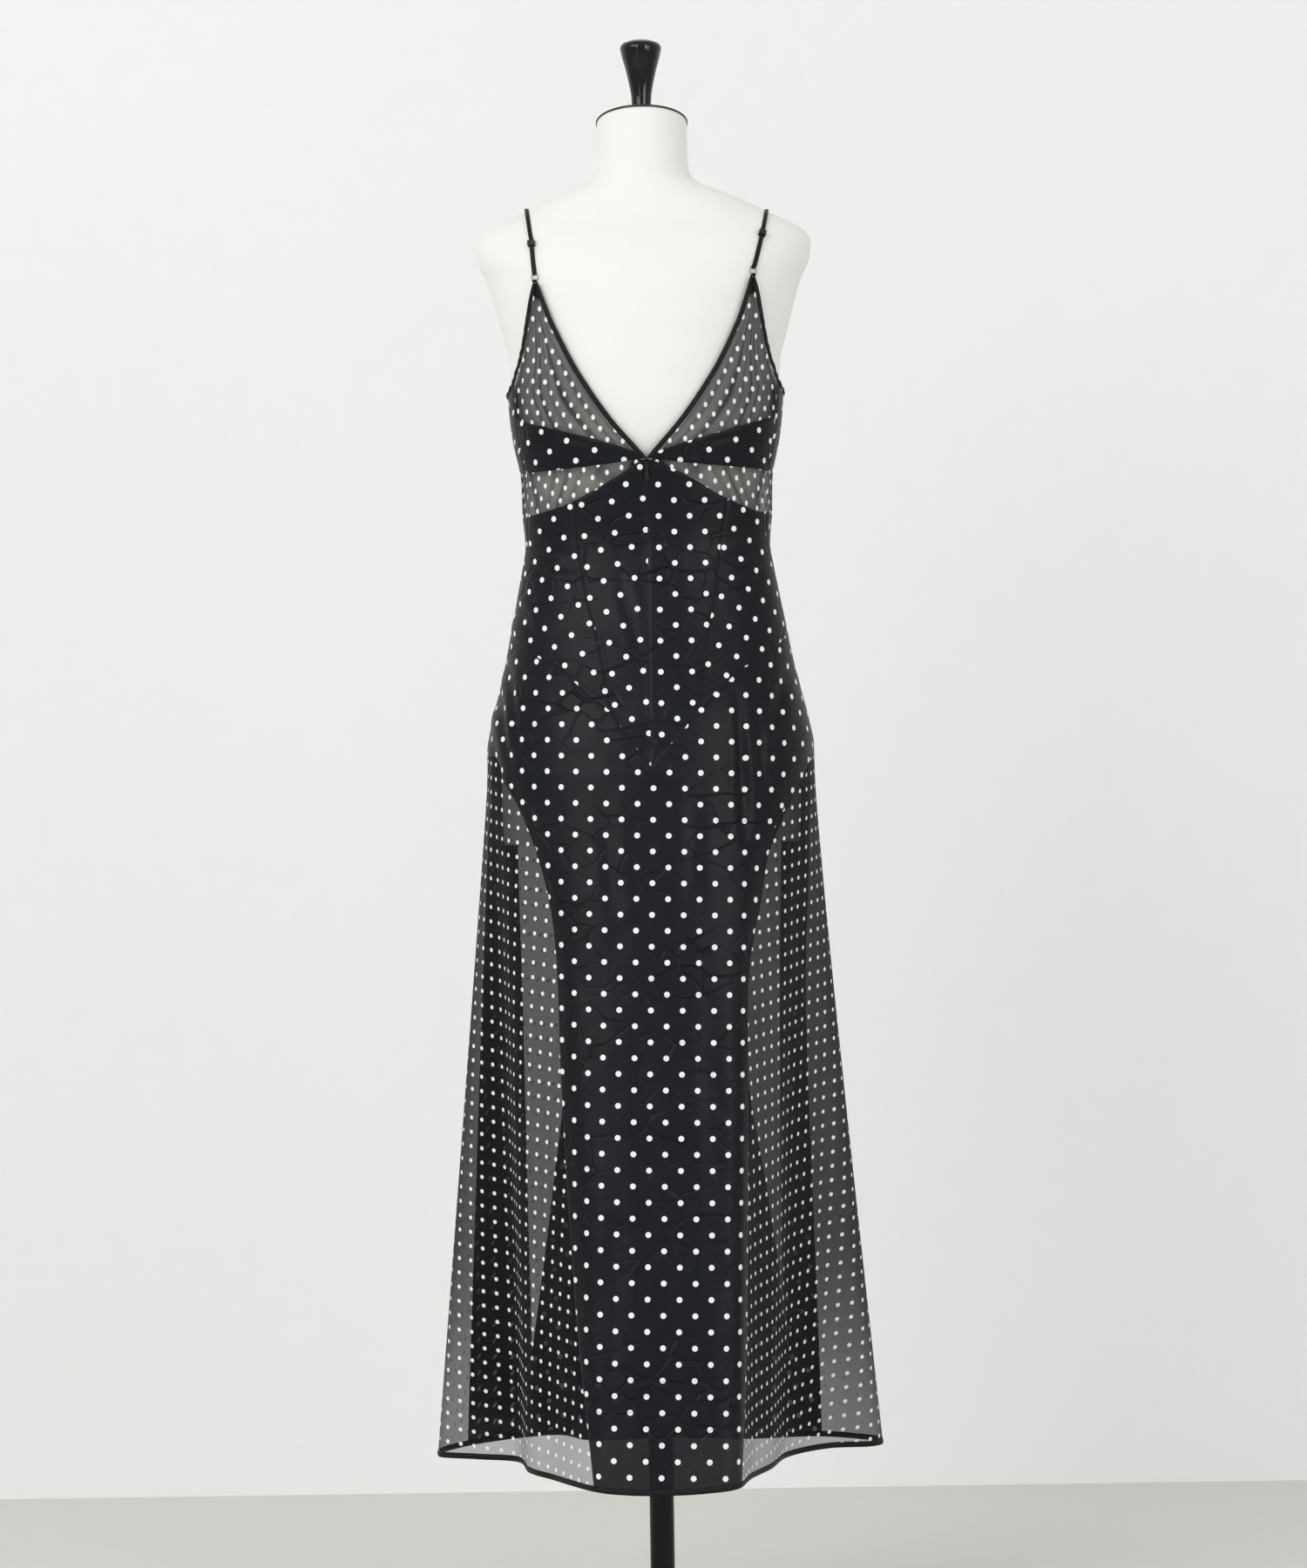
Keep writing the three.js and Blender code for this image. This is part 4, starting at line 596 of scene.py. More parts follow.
satinLook = dict(ground=(9, 14, 20), light=7, dot=(243, 243, 241), period=0.0336, dotSize=0.0062,
                 rough=0.42, specular=0.16, inside=(27, 30, 33), backDot=(148, 151, 155), thread=700)
# The crumple look also sets how dark the painted shade along the crease lines is
crumpleLook = dict(cells=27, wide=0.055, sway=0.03, shade=0.4, paintedCreaseShade=0.35, lift=0.35, broad=1.1, strength=0.8,
                   depth=0.0045)
sheerLook = dict(ground=(17, 20, 22), dot=(243, 244, 242), period=0.0222, dotAlpha=0.94, rough=0.7,
                 specular=0.2, cloud=0.08, thread=1400)


def satinMaterial(name, alpha=1.0):
    n, s, c = Nodes(name), satinLook, crumpleLook
    uv = n.add("UVMap", uv_map="weave").outputs[0]
    spot = n.add("TexCoord").outputs["Object"]
    dots = n.dots(uv, s["period"], s["dotSize"])
    behind = n.add("NewGeometry").outputs["Backfacing"]
    cloud = n.noise(spot, 14, 4, 0.6)
    # Short straight creases, as where cells of cloth buckle against each other: they are bumped, and their
    # lines are also darkened in the base colour as painted shade
    sway = n.vector("MULTIPLY", n.noise(spot, 26, 2, 0.5), (c["sway"],) * 3)
    bent = n.vector("ADD", n.vector("MULTIPLY", spot, (0.8, 0.8, 1.4)), sway)
    cells = n.fill(n.add("TexVoronoi", feature="DISTANCE_TO_EDGE"), {"Vector": bent, "Scale": c["cells"]})
    patch = n.softStep(n.noise(spot, 13, 3, 0.6), 0.4, 0.68)
    edge = n.softStep(cells.outputs["Distance"], 0.0, c["wide"])
    line = n.math("MULTIPLY", n.math("SUBTRACT", 1.0, edge), patch)
    light = n.mixColor(cloud, tone(s["ground"]), tone([v + s["light"] for v in s["ground"]]))
    # Painted shade: along the crease lines the ground colour is darkened
    paintedCreaseShade = tone([v * c["paintedCreaseShade"] for v in s["ground"]])
    ground = n.mixColor(n.math("MULTIPLY", line, c["shade"]), light, paintedCreaseShade)
    front = n.mixColor(dots, ground, tone(s["dot"]))
    back = n.mixColor(dots, tone(s["inside"]), tone(s["backDot"]))
    lifted = n.math("MULTIPLY", n.math("SUBTRACT", 1.0, line), c["lift"])
    height = n.math("ADD", lifted, n.math("MULTIPLY", n.noise(spot, 11, 2, 0.5, 0.5), c["broad"]))
    weave = n.add("TexWave", wave_type="BANDS", bands_direction="DIAGONAL")
    n.fill(weave, {"Vector": uv, "Scale": s["thread"]})
    normal = n.bump(height, c["strength"], c["depth"])
    n.fill(n.shader, {
        "Base Color": n.mixColor(behind, front, back), "Roughness": s["rough"], "Alpha": alpha,
        "Specular IOR Level": s["specular"], "Normal": n.bump(weave.outputs["Fac"], 0.08, 0.0001, normal)})
    return n.material


# Chiffon is thinnest at the hem and denser where it is gathered or folded
def sheerMaterial(name, low, high, lowZ, highZ, dotSize, foldShare):
    n, s = Nodes(name), sheerLook
    uv = n.add("UVMap", uv_map="weave").outputs[0]
    spot = n.add("TexCoord").outputs["Object"]
    dots = n.dots(uv, s["period"], dotSize)
    height = n.fill(n.add("SeparateXYZ"), {0: spot}).outputs["Z"]
    ramp = n.math("MULTIPLY", n.softStep(height, lowZ, highZ), high - low)
    cloud = n.math("MULTIPLY", n.noise(spot, 16, 3, 0.6), s["cloud"])
    fold = n.math("MULTIPLY", n.add("Attribute", attribute_name="fold").outputs["Fac"], foldShare)
    ground = n.math("ADD", n.math("ADD", ramp, low - s["cloud"] / 2), n.math("ADD", cloud, fold))
    whole = n.fill(n.add("Mix", data_type="FLOAT"), {0: dots, 2: ground, 3: s["dotAlpha"]})
    soft = n.bump(n.noise(spot, 22, 2, 0.5, 0.6), 0.2, 0.002)
    n.fill(n.shader, {
        "Base Color": n.mixColor(dots, tone(s["ground"]), tone(s["dot"])), "Alpha": whole.outputs[0],
        "Roughness": s["rough"], "Specular IOR Level": s["specular"],
        "Normal": n.bump(n.noise(uv, s["thread"], 1, 0.5), 0.03, 0.0001, soft)})
    return n.material


# A smooth finish, with its colour and gloss a little uneven
def plainMaterial(name, color, rough, metal=0.0, grain=0, grainDepth=0.0002, coat=0.0, specular=0.5,
                  oneSided=False):
    n = Nodes(name)
    spot = n.add("TexCoord").outputs["Object"]
    cloud = n.noise(spot, 30, 4, 0.6)
    shade = [max(v - 7, 0) for v in color]
    n.fill(n.shader, {
        "Base Color": n.mixColor(n.math("MULTIPLY", cloud, 0.6), tone(color), tone(shade)), "Metallic": metal,
        "Roughness": n.math("ADD", rough - 0.04, n.math("MULTIPLY", cloud, 0.08)),
        "Specular IOR Level": specular, "Coat Weight": coat, "Coat Roughness": 0.05})
    if grain:
        n.put(n.shader.inputs["Normal"], n.bump(n.noise(spot, grain, 2, 0.6), 0.5, grainDepth))
    if oneSided:
        behind = n.add("NewGeometry").outputs["Backfacing"]
        n.put(n.shader.inputs["Alpha"], n.math("SUBTRACT", 1.0, behind))
    return n.material


satin, skirtSatin = satinMaterial("satin"), satinMaterial("skirt satin", 0.984)
sheer = sheerMaterial("skirt sheer", 0.46, 0.63, 0.24, 0.48, 0.0046, 0.3)
bustSheer = sheerMaterial("bodice sheer", 0.46, 0.57, 1.28, 1.38, 0.0057, 0.38)
trim = plainMaterial("trim", (17, 18, 21), 0.55, grain=900, grainDepth=0.0003, specular=0.22)
silver = plainMaterial("silver", (158, 154, 146), 0.2, metal=1.0)
enamel = plainMaterial("black enamel", (8, 8, 10), 0.2, coat=0.35, specular=0.25)
blackPlastic = plainMaterial("black plastic", (20, 21, 23), 0.3, grain=400, grainDepth=0.00005)
blackGloss = plainMaterial("black gloss", (4, 5, 6), 0.1, coat=0.15, specular=0.35)
poleGloss = plainMaterial("pole gloss", (12, 14, 13), 0.3, specular=0.22)
blackMetal = plainMaterial("black metal", (22, 24, 26), 0.35, metal=0.3, grain=900, grainDepth=0.0001)
discEdge = plainMaterial("disc edge", (40, 31, 27), 0.45)
formCloth = plainMaterial("form cloth", (244, 243, 239), 0.85, grain=1300, grainDepth=0.0002, specular=0.15)
print("stage: materials ready")

# Long soft creases, as x, z at both ends, half width and depth; the front has like ones
backCreases = [
    (-166, 1064, -154, 975, 5, 3.4), (-154, 1085, -143, 990, 4, 2.6), (-172, 1010, -160, 905, 5.5, 3.2),
    (-148, 1150, -120, 1105, 6, 1.6), (94, 1045, 100, 885, 5, 3.3), (116, 1030, 120, 940, 5, 1.8),
    (150, 1075, 128, 1002, 7, 2.0), (-128, 1212, -84, 1196, 5, 1.3), (-120, 1180, -72, 1172, 5, 1.1),
    (118, 1205, 84, 1190, 5, 1.2), (124, 1170, 90, 1160, 5, 1.2), (-30, 1180, -12, 1090, 6, 0.9),
    (22, 1235, 30, 1150, 6, 0.9), (-52, 940, -40, 790, 9, 1.4), (48, 950, 42, 820, 9, 1.3),
    (-66, 760, -70, 560, 10, 1.3), (58, 720, 68, 480, 11, 1.3), (-18, 700, -8, 480, 12, 1.1),
    (24, 560, 30, 330, 12, 1.4), (-48, 480, -58, 260, 11, 1.6), (70, 420, 74, 250, 9, 1.5),
    (-96, 1325, -60, 1318, 4, 0.8), (92, 1322, 62, 1316, 4, 0.8),
]
frontCreases = [
    (-150, 1075, -128, 1000, 8, 2.4), (148, 1070, 128, 990, 8, 2.3), (-110, 1190, -70, 1176, 5, 1.2),
    (112, 1186, 74, 1174, 5, 1.2), (-56, 930, -48, 760, 10, 1.5), (50, 900, 46, 740, 10, 1.3),
    (-20, 700, -14, 470, 12, 1.2), (66, 640, 74, 400, 11, 1.4), (-84, 560, -96, 300, 12, 1.6),
    (100, 1330, 70, 1340, 6, 1.2), (-100, 1334, -64, 1338, 6, 1.2), (30, 1200, 34, 1110, 6, 0.9),
]
sideCreases = [
    (-196, 900, -206, 560, 9, 1.8), (-176, 780, -182, 480, 8, 1.5), (160, 860, 170, 620, 8, 1.6),
    (196, 760, 214, 420, 10, 1.8), (-214, 520, -228, 300, 9, 1.6), (222, 520, 234, 320, 9, 1.4),
]
creaseLook = dict(past=0.2, wander=0.25, fade=1.7, ridge=0.45, ridgeAt=1.9)


def creaseDepth(points, creases, front):
    x, z, look = points[..., 0], points[..., 2], creaseLook
    depth = np.zeros(x.shape)
    facing = points[..., 1] > 0 if front else points[..., 1] <= 0
    for x0, z0, x1, z1, width, deep in creases:
        a, d = np.array([x0, z0], float), np.array([x1 - x0, z1 - z0], float)
        share = np.clip(((x - a[0]) * d[0] + (z - a[1]) * d[1]) / (d @ d), -look["past"], 1 + look["past"])
        wander = look["wander"] * width * np.sin(share * 7 + x0)
        away = np.abs((x - a[0]) * d[1] - (z - a[1]) * d[0]) / np.linalg.norm(d) + wander
        past = np.maximum(np.abs(share - 0.5) - 0.5, 0) * np.linalg.norm(d)
        fade = np.clip(1 - np.abs(share - 0.5) * look["fade"], 0, 1) ** 0.7
        trough = np.exp(-((away ** 2 + past ** 2) / width ** 2))
        ridge = np.exp(-(((away - look["ridgeAt"] * width) ** 2 + past ** 2) / width ** 2))
        depth += deep * fade * (look["ridge"] * ridge - trough)
    return depth * facing


# How much denser the chiffon looks where it is folded; tips as the width where it starts, and its run
foldLook = dict(side=0.9, gatheredSide=1.3, pleat=0.9, tip=1.7, lowerTip=(10, 4), upperTip=(13, 5),
                fromZ=70, run=260)
seamLook = dict(dip=0.55, dipWidth=1.6, ridge=0.25, ridgeAt=4.2, ridgeWidth=1.7)
gathers = dict(upper=dict(waves=8, rise=1.7), lower=dict(waves=6, rise=1.0), midriff=dict(waves=15, rise=1.3))
panels = {}


# Every panel has its CAD node's name. grain turns the print, in degrees, and slide and tight place it
def addPanel(node, seams, grain=0.0, gather=None, ease=False, finer=3, slide=(0, 0), creases=(),
             material=None, tight=1.0, dense=0.0):
    face = "front" if "front" in node else "back"
    look = "sheer" if "sheer" in node or "inset" in node else "satin"
    places = placeGrid(*seams, ease=ease, finer=finer)
    points, normals = clothXyz(places), clothNormals(places)
    across, up = places.shape[0] - 1, places.shape[1] - 1
    u, v = np.linspace(0, 1, across + 1)[:, None], np.linspace(0, 1, up + 1)[None]
    offset, fold, f = creaseDepth(points, creases, face == "front"), None, foldLook
    if look == "sheer":
        # Chiffon is eased into the side seams, so it lies denser towards them
        fold = f["gatheredSide" if gather else "side"] * (1 - np.abs(normals[..., 1])) ** 2
    if dense:
        # This side hangs in closer folds than the other, down to just above the hem
        fold = fold + dense * np.clip((points[..., 2] - f["fromZ"]) / f["run"], 0, 1)
    if gather:
        waves, rise = gathers[gather]["waves"], gathers[gather]["rise"]
        wave = 0.5 - 0.5 * np.cos(2 * np.pi * (waves * u + 0.35 * np.sin(9 * u + 2 * v)))
        pleat = f["pleat"] * wave ** 2 * (0.7 + 0.3 * np.sin(23 * u)) * np.sin(np.pi * u) ** 0.3
        fold = np.maximum(fold, pleat * np.ones_like(v))
        swell = np.sin(np.pi * np.clip(v, 0, 1)) ** 0.5 * np.sqrt(np.clip(np.sin(np.pi * u), 0, 1))
        offset = offset - rise * swell * wave * (0.75 + 0.35 * np.sin(17 * u))
    # The seam allowances meet in the narrow tips, where the chiffon is no longer clear; the near-opaque dark
    # tips stand partly for these layers of cloth and partly for their shadow, as painted shade
    if gather == "lower":
        tip, (start, over) = np.linalg.norm(points[:, -1] - points[:, 0], axis=1)[:, None], f["lowerTip"]
        fold = np.maximum(fold, np.clip((start - tip) / over, 0, 1) * f["tip"])
    if gather == "upper":
        tip, (start, over) = np.linalg.norm(points[-1] - points[0], axis=1)[None], f["upperTip"]
        fold = np.maximum(fold, np.clip((start - tip) / over, 0, 1) * f["tip"])
    edge, m = edgeDistance(points), seamLook
    dip = m["dip"] * np.exp(-((edge / m["dipWidth"]) ** 2))
    offset = offset - dip + m["ridge"] * np.exp(-(((edge - m["ridgeAt"]) / m["ridgeWidth"]) ** 2))
    points = points + normals * offset[..., None]
    s, t = lengthAround(places, face) * tight - slide[0], places[..., 1] - slide[1]
    turn = math.radians(grain)
    uv = np.stack([s * math.cos(turn) - t * math.sin(turn), s * math.sin(turn) + t * math.cos(turn)], -1)
    # Faces turn outwards where the angle grows across
    grows = places[-1].mean(0)[0] > places[0].mean(0)[0]
    material = material or (satin if look == "satin" else bustSheer if gather else sheer)
    obj = newMesh(node + "_cloth", points.reshape(-1, 3), gridFaces(across, up), material, uv.reshape(-1, 2),
                  flip=not grows, fold=fold)
    panels[node] = place(obj, node, look)


def edgeDistance(points):
    gapsU = np.linalg.norm(np.diff(points, axis=0), axis=2)
    gapsV = np.linalg.norm(np.diff(points, axis=1), axis=2)
    left = np.vstack([np.zeros((1, points.shape[1])), np.cumsum(gapsU, 0)])
    low = np.hstack([np.zeros((points.shape[0], 1)), np.cumsum(gapsV, 1)])
    return np.minimum(np.minimum(left, left[-1] - left), np.minimum(low, low[:, [-1]] - low))


sideFolds = dict(L=0.08, R=0.4)
left, right = seamsOf(-1), seamsOf(1)
for sign, tag, s in ((-1, "L", left), (1, "R", right)):
    neck, arm = s.neck, s.arm
    addPanel("back_upper_sheer_" + tag, (
        neck["upper"][::-1], joined(s.upper, arm["back"][::-1]), s.bandTop,
        run(neck["upper"][0], arm["back"][0], steps["across"])),
        gather="upper", finer=4, grain=-sign * 5, tight=1.32, slide=(sign * 112, 1436))
    addPanel("back_band_" + tag, (neck["lower"][::-1], s.band, s.bandBottom, s.bandTop), grain=-sign * 19,
             creases=backCreases, slide=(-56, 1309) if sign < 0 else (68, 1308))
    topEdge = joined(s.topCentre, s.topSide)
    addPanel("back_lower_sheer_" + tag, (
        run(topEdge[0], s.bandBottom[0], steps["midriff"]), s.midriff, topEdge, s.bandBottom),
        gather="lower", finer=4, grain=sign * 13, tight=1.36, slide=(sign * 80, 1280))
    addPanel("back_centre_bodice_" + tag, (
        run((0, basquePointZ), (0, zipTopZ), steps["bodice"]), s.princess, s.basqueCentre,
        joined(s.topLead, s.topCentre)), grain=-4.5 if sign < 0 else 0, finer=4,
        creases=backCreases, slide=(-20, 1238.6) if sign < 0 else (12, 1237.7))
    addPanel("back_side_bodice_" + tag, (s.princess, s.bodice, s.basqueSide, s.topSide), grain=-sign * 14,
             creases=backCreases, slide=(-93, 1217) if sign < 0 else (96, 1224))
    addPanel("skirt_side_sheer_" + tag, (
        s.skirtBack, s.skirt, hemRun(s.skirtBack[0, 0], s.skirt[0, 0], steps["hem"]),
        resampled(s.cornerBack, steps["hem"])),
        grain=45 - sign * 7, creases=sideCreases, dense=sideFolds[tag])
    cupEdge, cupTop = s.frontNeck["inner"], arm["front"][-1]
    cupCentre = joined(run(s.underbust[-1], cupEdge[-1], steps["cupCentre"]), cupEdge[::-1])
    addPanel("front_cup_" + tag, (
        joined(s.band, s.upper, arm["front"]), cupCentre, s.underbust,
        run(cupTop, cupEdge[0], steps["frontHalf"] * 2)),
        ease=True, grain=sign * 20, creases=frontCreases)
    frontTop = joined(s.frontTopSide, s.frontTopCentre)
    addPanel("front_midriff_sheer_" + tag, (
        s.midriff, run(frontTop[-1], s.underbust[-1], steps["midriff"]), frontTop, s.underbust),
        gather="midriff", finer=5, tight=1.5)
    addPanel("front_side_bodice_" + tag, (
        s.bodice, s.frontPrincess, s.frontBasqueSide[::-1], s.frontTopSide),
        grain=sign * 12, creases=frontCreases)
    outer, inner, count = s.insetOuter, s.insetInner, steps["insetAcross"]
    addPanel("skirt_front_inset_" + tag, (
        outer, inner, run(outer[0], inner[0], count), run(outer[-1], inner[-1], count)),
        grain=45 + sign * 5, dense=sideFolds[tag])
    outer, count = joined(s.belowInset, outer, s.aboveInset), steps["sideFront"]
    addPanel("skirt_side_front_" + tag, (
        s.skirt, outer, hemRun(s.skirt[0, 0], outer[0, 0], count), resampled(s.cornerFront[::-1], count)),
        grain=sign * 6)

rise = lambda s: joined(s.skirtBack, s.cornerBack, s.hip)
topRun = lambda s: joined(s.basqueCentre, s.basqueSide)
addPanel("skirt_back_panel", (
    rise(left), rise(right), hemRun(left.skirtBack[0, 0], right.skirtBack[0, 0], steps["backHem"]),
    joined(topRun(left)[::-1], topRun(right))), ease=True, creases=backCreases, material=skirtSatin,
    slide=(4.6, 390.9), grain=1.5)
addPanel("front_centre_bodice", (
    right.frontPrincess, pastCentre(left.frontPrincess),
    joined(right.frontBasqueCentre[::-1], pastCentre(left.frontBasqueCentre)),
    joined(right.frontTopCentre, pastCentre(left.frontTopCentre[::-1]))), finer=4, creases=frontCreases)
frontRise = lambda s: joined(s.belowInset, s.insetInner, s.aboveInset, s.cornerFront, s.hip)
frontRun = lambda s: joined(s.frontBasqueCentre, s.frontBasqueSide)
addPanel("skirt_front_panel", (
    frontRise(right), pastCentre(frontRise(left)),
    hemRun(right.belowInset[0, 0], left.belowInset[0, 0] + 360, steps["hem"]),
    joined(frontRun(right)[::-1], pastCentre(frontRun(left)))), ease=True, creases=frontCreases)
print("stage: panels", len(panels), "with", sum(len(p.data.polygons) for p in panels.values()), "faces")


# A closed skin through rings of points, capped with a middle point at each end
def sweep(name, rings, material, node, slot, closed=False):
    count, sides = rings.shape[:2]
    points = rings.reshape(-1, 3)
    faces = []
    for i in range(count if closed else count - 1):
        for k in range(sides):
            a, b = i * sides, ((i + 1) % count) * sides
            faces.append((a + k, a + (k + 1) % sides, b + (k + 1) % sides, b + k))
    if not closed:
        points = np.vstack([points, rings[0].mean(0), rings[-1].mean(0)])
        for k in range(sides):
            n = (k + 1) % sides
            faces.append((n, k, len(points) - 2))
            faces.append(((count - 1) * sides + k, (count - 1) * sides + n, len(points) - 1))
    volume = sum(np.dot(points[f[0]], np.cross(points[f[i]], points[f[i + 1]])) for f in faces
                 for i in range(1, len(f) - 1))
    return place(newMesh(name, points, faces, material, flip=volume < 0), node, slot)


# A soft band between two edges: its section is a flat oval, a little proud of the cloth
bandLook = dict(sides=10, outward=1.1, inward=0.9, rows=110, wide=1.22, base=-0.2)


def addBand(node, edges, pucker):
    a, b = evenSteps(edges["outer"], bandLook["rows"]), evenSteps(edges["inner"], bandLook["rows"])
    pa, pb = clothXyz(a), clothXyz(b)
    normal = unit(clothNormals(a) + clothNormals(b))
    centre, half = (pa + pb) / 2, (pb - pa) / 2
    along = lengthsAlong(centre)
    ripple = np.sin(along / 2.3 + 1.7 * np.sin(along / 11)) * np.sin(along / 7.1)
    ripple = ripple * np.clip(np.minimum(along, along[-1] - along) / 8, 0, 1) * pucker
    centre = centre + normal * (bandLook["base"] + ripple * 0.8)[:, None]
    centre = centre + unit(half) * (ripple * 0.5)[:, None]
    points = []
    for k in range(bandLook["sides"]):
        turn = 2 * math.pi * k / bandLook["sides"]
        high = bandLook["outward"] if math.sin(turn) > 0 else bandLook["inward"]
        points.append(centre + half * math.cos(turn) * bandLook["wide"] + normal * math.sin(turn) * high)
    sweep(node + "_cloth", np.stack(points, 1), trim, node, "trim")


for tag, s in (("L", left), ("R", right)):
    for node, edges, pucker in (("back_neck", s.neck, 0.15), ("front_neck", s.frontNeck, 0.15),
                                ("armhole", s.arm, 1.5)):
        addBand(node + "_binding_" + tag, edges, pucker)

# The narrow rolled hem all round
hemLook = dict(height=6.4, thick=1.8, sides=8, rows=520, below=0.4, inward=0.2)
hemAngles = np.linspace(-180, 180, hemLook["rows"], endpoint=False)
hemPlaces = np.stack([hemAngles, hemHeight(hemAngles) + hemLook["height"] / 2 - hemLook["below"]], -1)
hemPoints, hemNormals = clothXyz(hemPlaces), clothNormals(hemPlaces)
hemRings = np.stack([
    hemPoints + hemNormals * (math.cos(t) * hemLook["thick"] / 2 - hemLook["inward"])
    + np.array([0, 0, 1.0]) * (math.sin(t) * hemLook["height"] / 2)
    for t in np.linspace(0, 2 * math.pi, hemLook["sides"], endpoint=False)], 1)
hemRoll = sweep("hem_roll", hemRings, trim, None, "trim", closed=True)
print("stage: bindings and hem")


# The form's surface and the axes on it
def formSurface(x, z, face):
    width, back, front = sizesAt(formTables, z)
    share = min(abs(x) / width, 1) ** formSquareness
    depth = (back if face == "back" else front) * (1 - share) ** (1 / formSquareness)
    return np.array([x, -depth if face == "back" else depth, z])


def formLevel(p):
    width, back, front = sizesAt(formTables, p[2])
    depth = back if p[1] < 0 else front
    return (abs(p[0]) / width) ** formSquareness + (abs(p[1]) / depth) ** formSquareness


def formAxes(p):
    gradient = [formLevel(p + e) - formLevel(p - e) for e in np.eye(3) * 0.4]
    out = unit(np.array(gradient))
    up = unit(np.array([0, 0, 1.0]) - out * out[2])
    return out, up, np.cross(up, out)


strapLook = dict(width=4.4, thick=0.8, clear=0.3, wire=0.6, ring=3.9, aboveApex=6, turnCentre=3.8, slack=0.1,
                 lift=1.0, frontLift=3.4, loopEnd=0.35, turns=13, finer=3)
sliderLook = dict(height=6.4, low=2.2, high=3.5)
# Where each strap's slider and top are: the slider's x and z, and the top's x
strapPlaces = {-1: (119.7, 1533, 126), 1: (127.4, 1541, 134)}
layerLow = strapLook["clear"] + strapLook["thick"] / 2
turnRadius = strapLook["wire"] + strapLook["slack"] + strapLook["thick"] / 2
ringHeight, layerHigh = layerLow + turnRadius, layerLow + 2 * turnRadius
sliderLow, sliderHigh = sliderLook["low"], sliderLook["high"]


def ringTurn(spot, axes, way):
    out, up, _ = axes
    turns = np.linspace(0, math.pi, strapLook["turns"])
    lift = way * (strapLook["turnCentre"] - turnRadius * np.sin(turns))
    return [spot + up * l + out * (ringHeight + turnRadius * math.cos(t)) for l, t in zip(lift, turns)]


def ribbon(node, path, sideways, finer=1):
    path, sideways = np.array(path), np.array(sideways)
    if finer > 1:
        path, sideways = smoothLine(path, finer), smoothLine(sideways, finer)
    along = tangentsOf(path)
    side = unit(sideways - along * (sideways * along).sum(1)[:, None])
    out = np.cross(along, side)
    w, t = strapLook["width"] / 2, strapLook["thick"] / 2
    section = [(w, -t * 0.5), (w, t * 0.5), (w * 0.9, t), (w * 0.45, t * 0.86), (-w * 0.45, t * 0.86),
               (-w * 0.9, t), (-w, t * 0.5), (-w, -t * 0.5), (-w * 0.9, -t), (w * 0.9, -t)]
    rings = np.stack([path + side * a + out * b for a, b in section], 1)
    sweep(node + "_cloth", rings, trim, node, "trim")


def smoothLine(p, finer):
    q = np.vstack([2 * p[0] - p[1], p, 2 * p[-1] - p[-2]])
    out = []
    for i in range(1, len(q) - 2):
        gap = np.linalg.norm(q[i + 1] - q[i])
        before, after = np.linalg.norm(q[i] - q[i - 1]), np.linalg.norm(q[i + 2] - q[i + 1])
        leave = (q[i + 1] - q[i - 1]) * gap / max(gap + before, 1e-6)
        arrive = (q[i + 2] - q[i]) * gap / max(gap + after, 1e-6)
        out += [hermite(q[i], q[i + 1], leave, arrive, k / finer) for k in range(finer)]
    return np.array(out + [p[-1]])


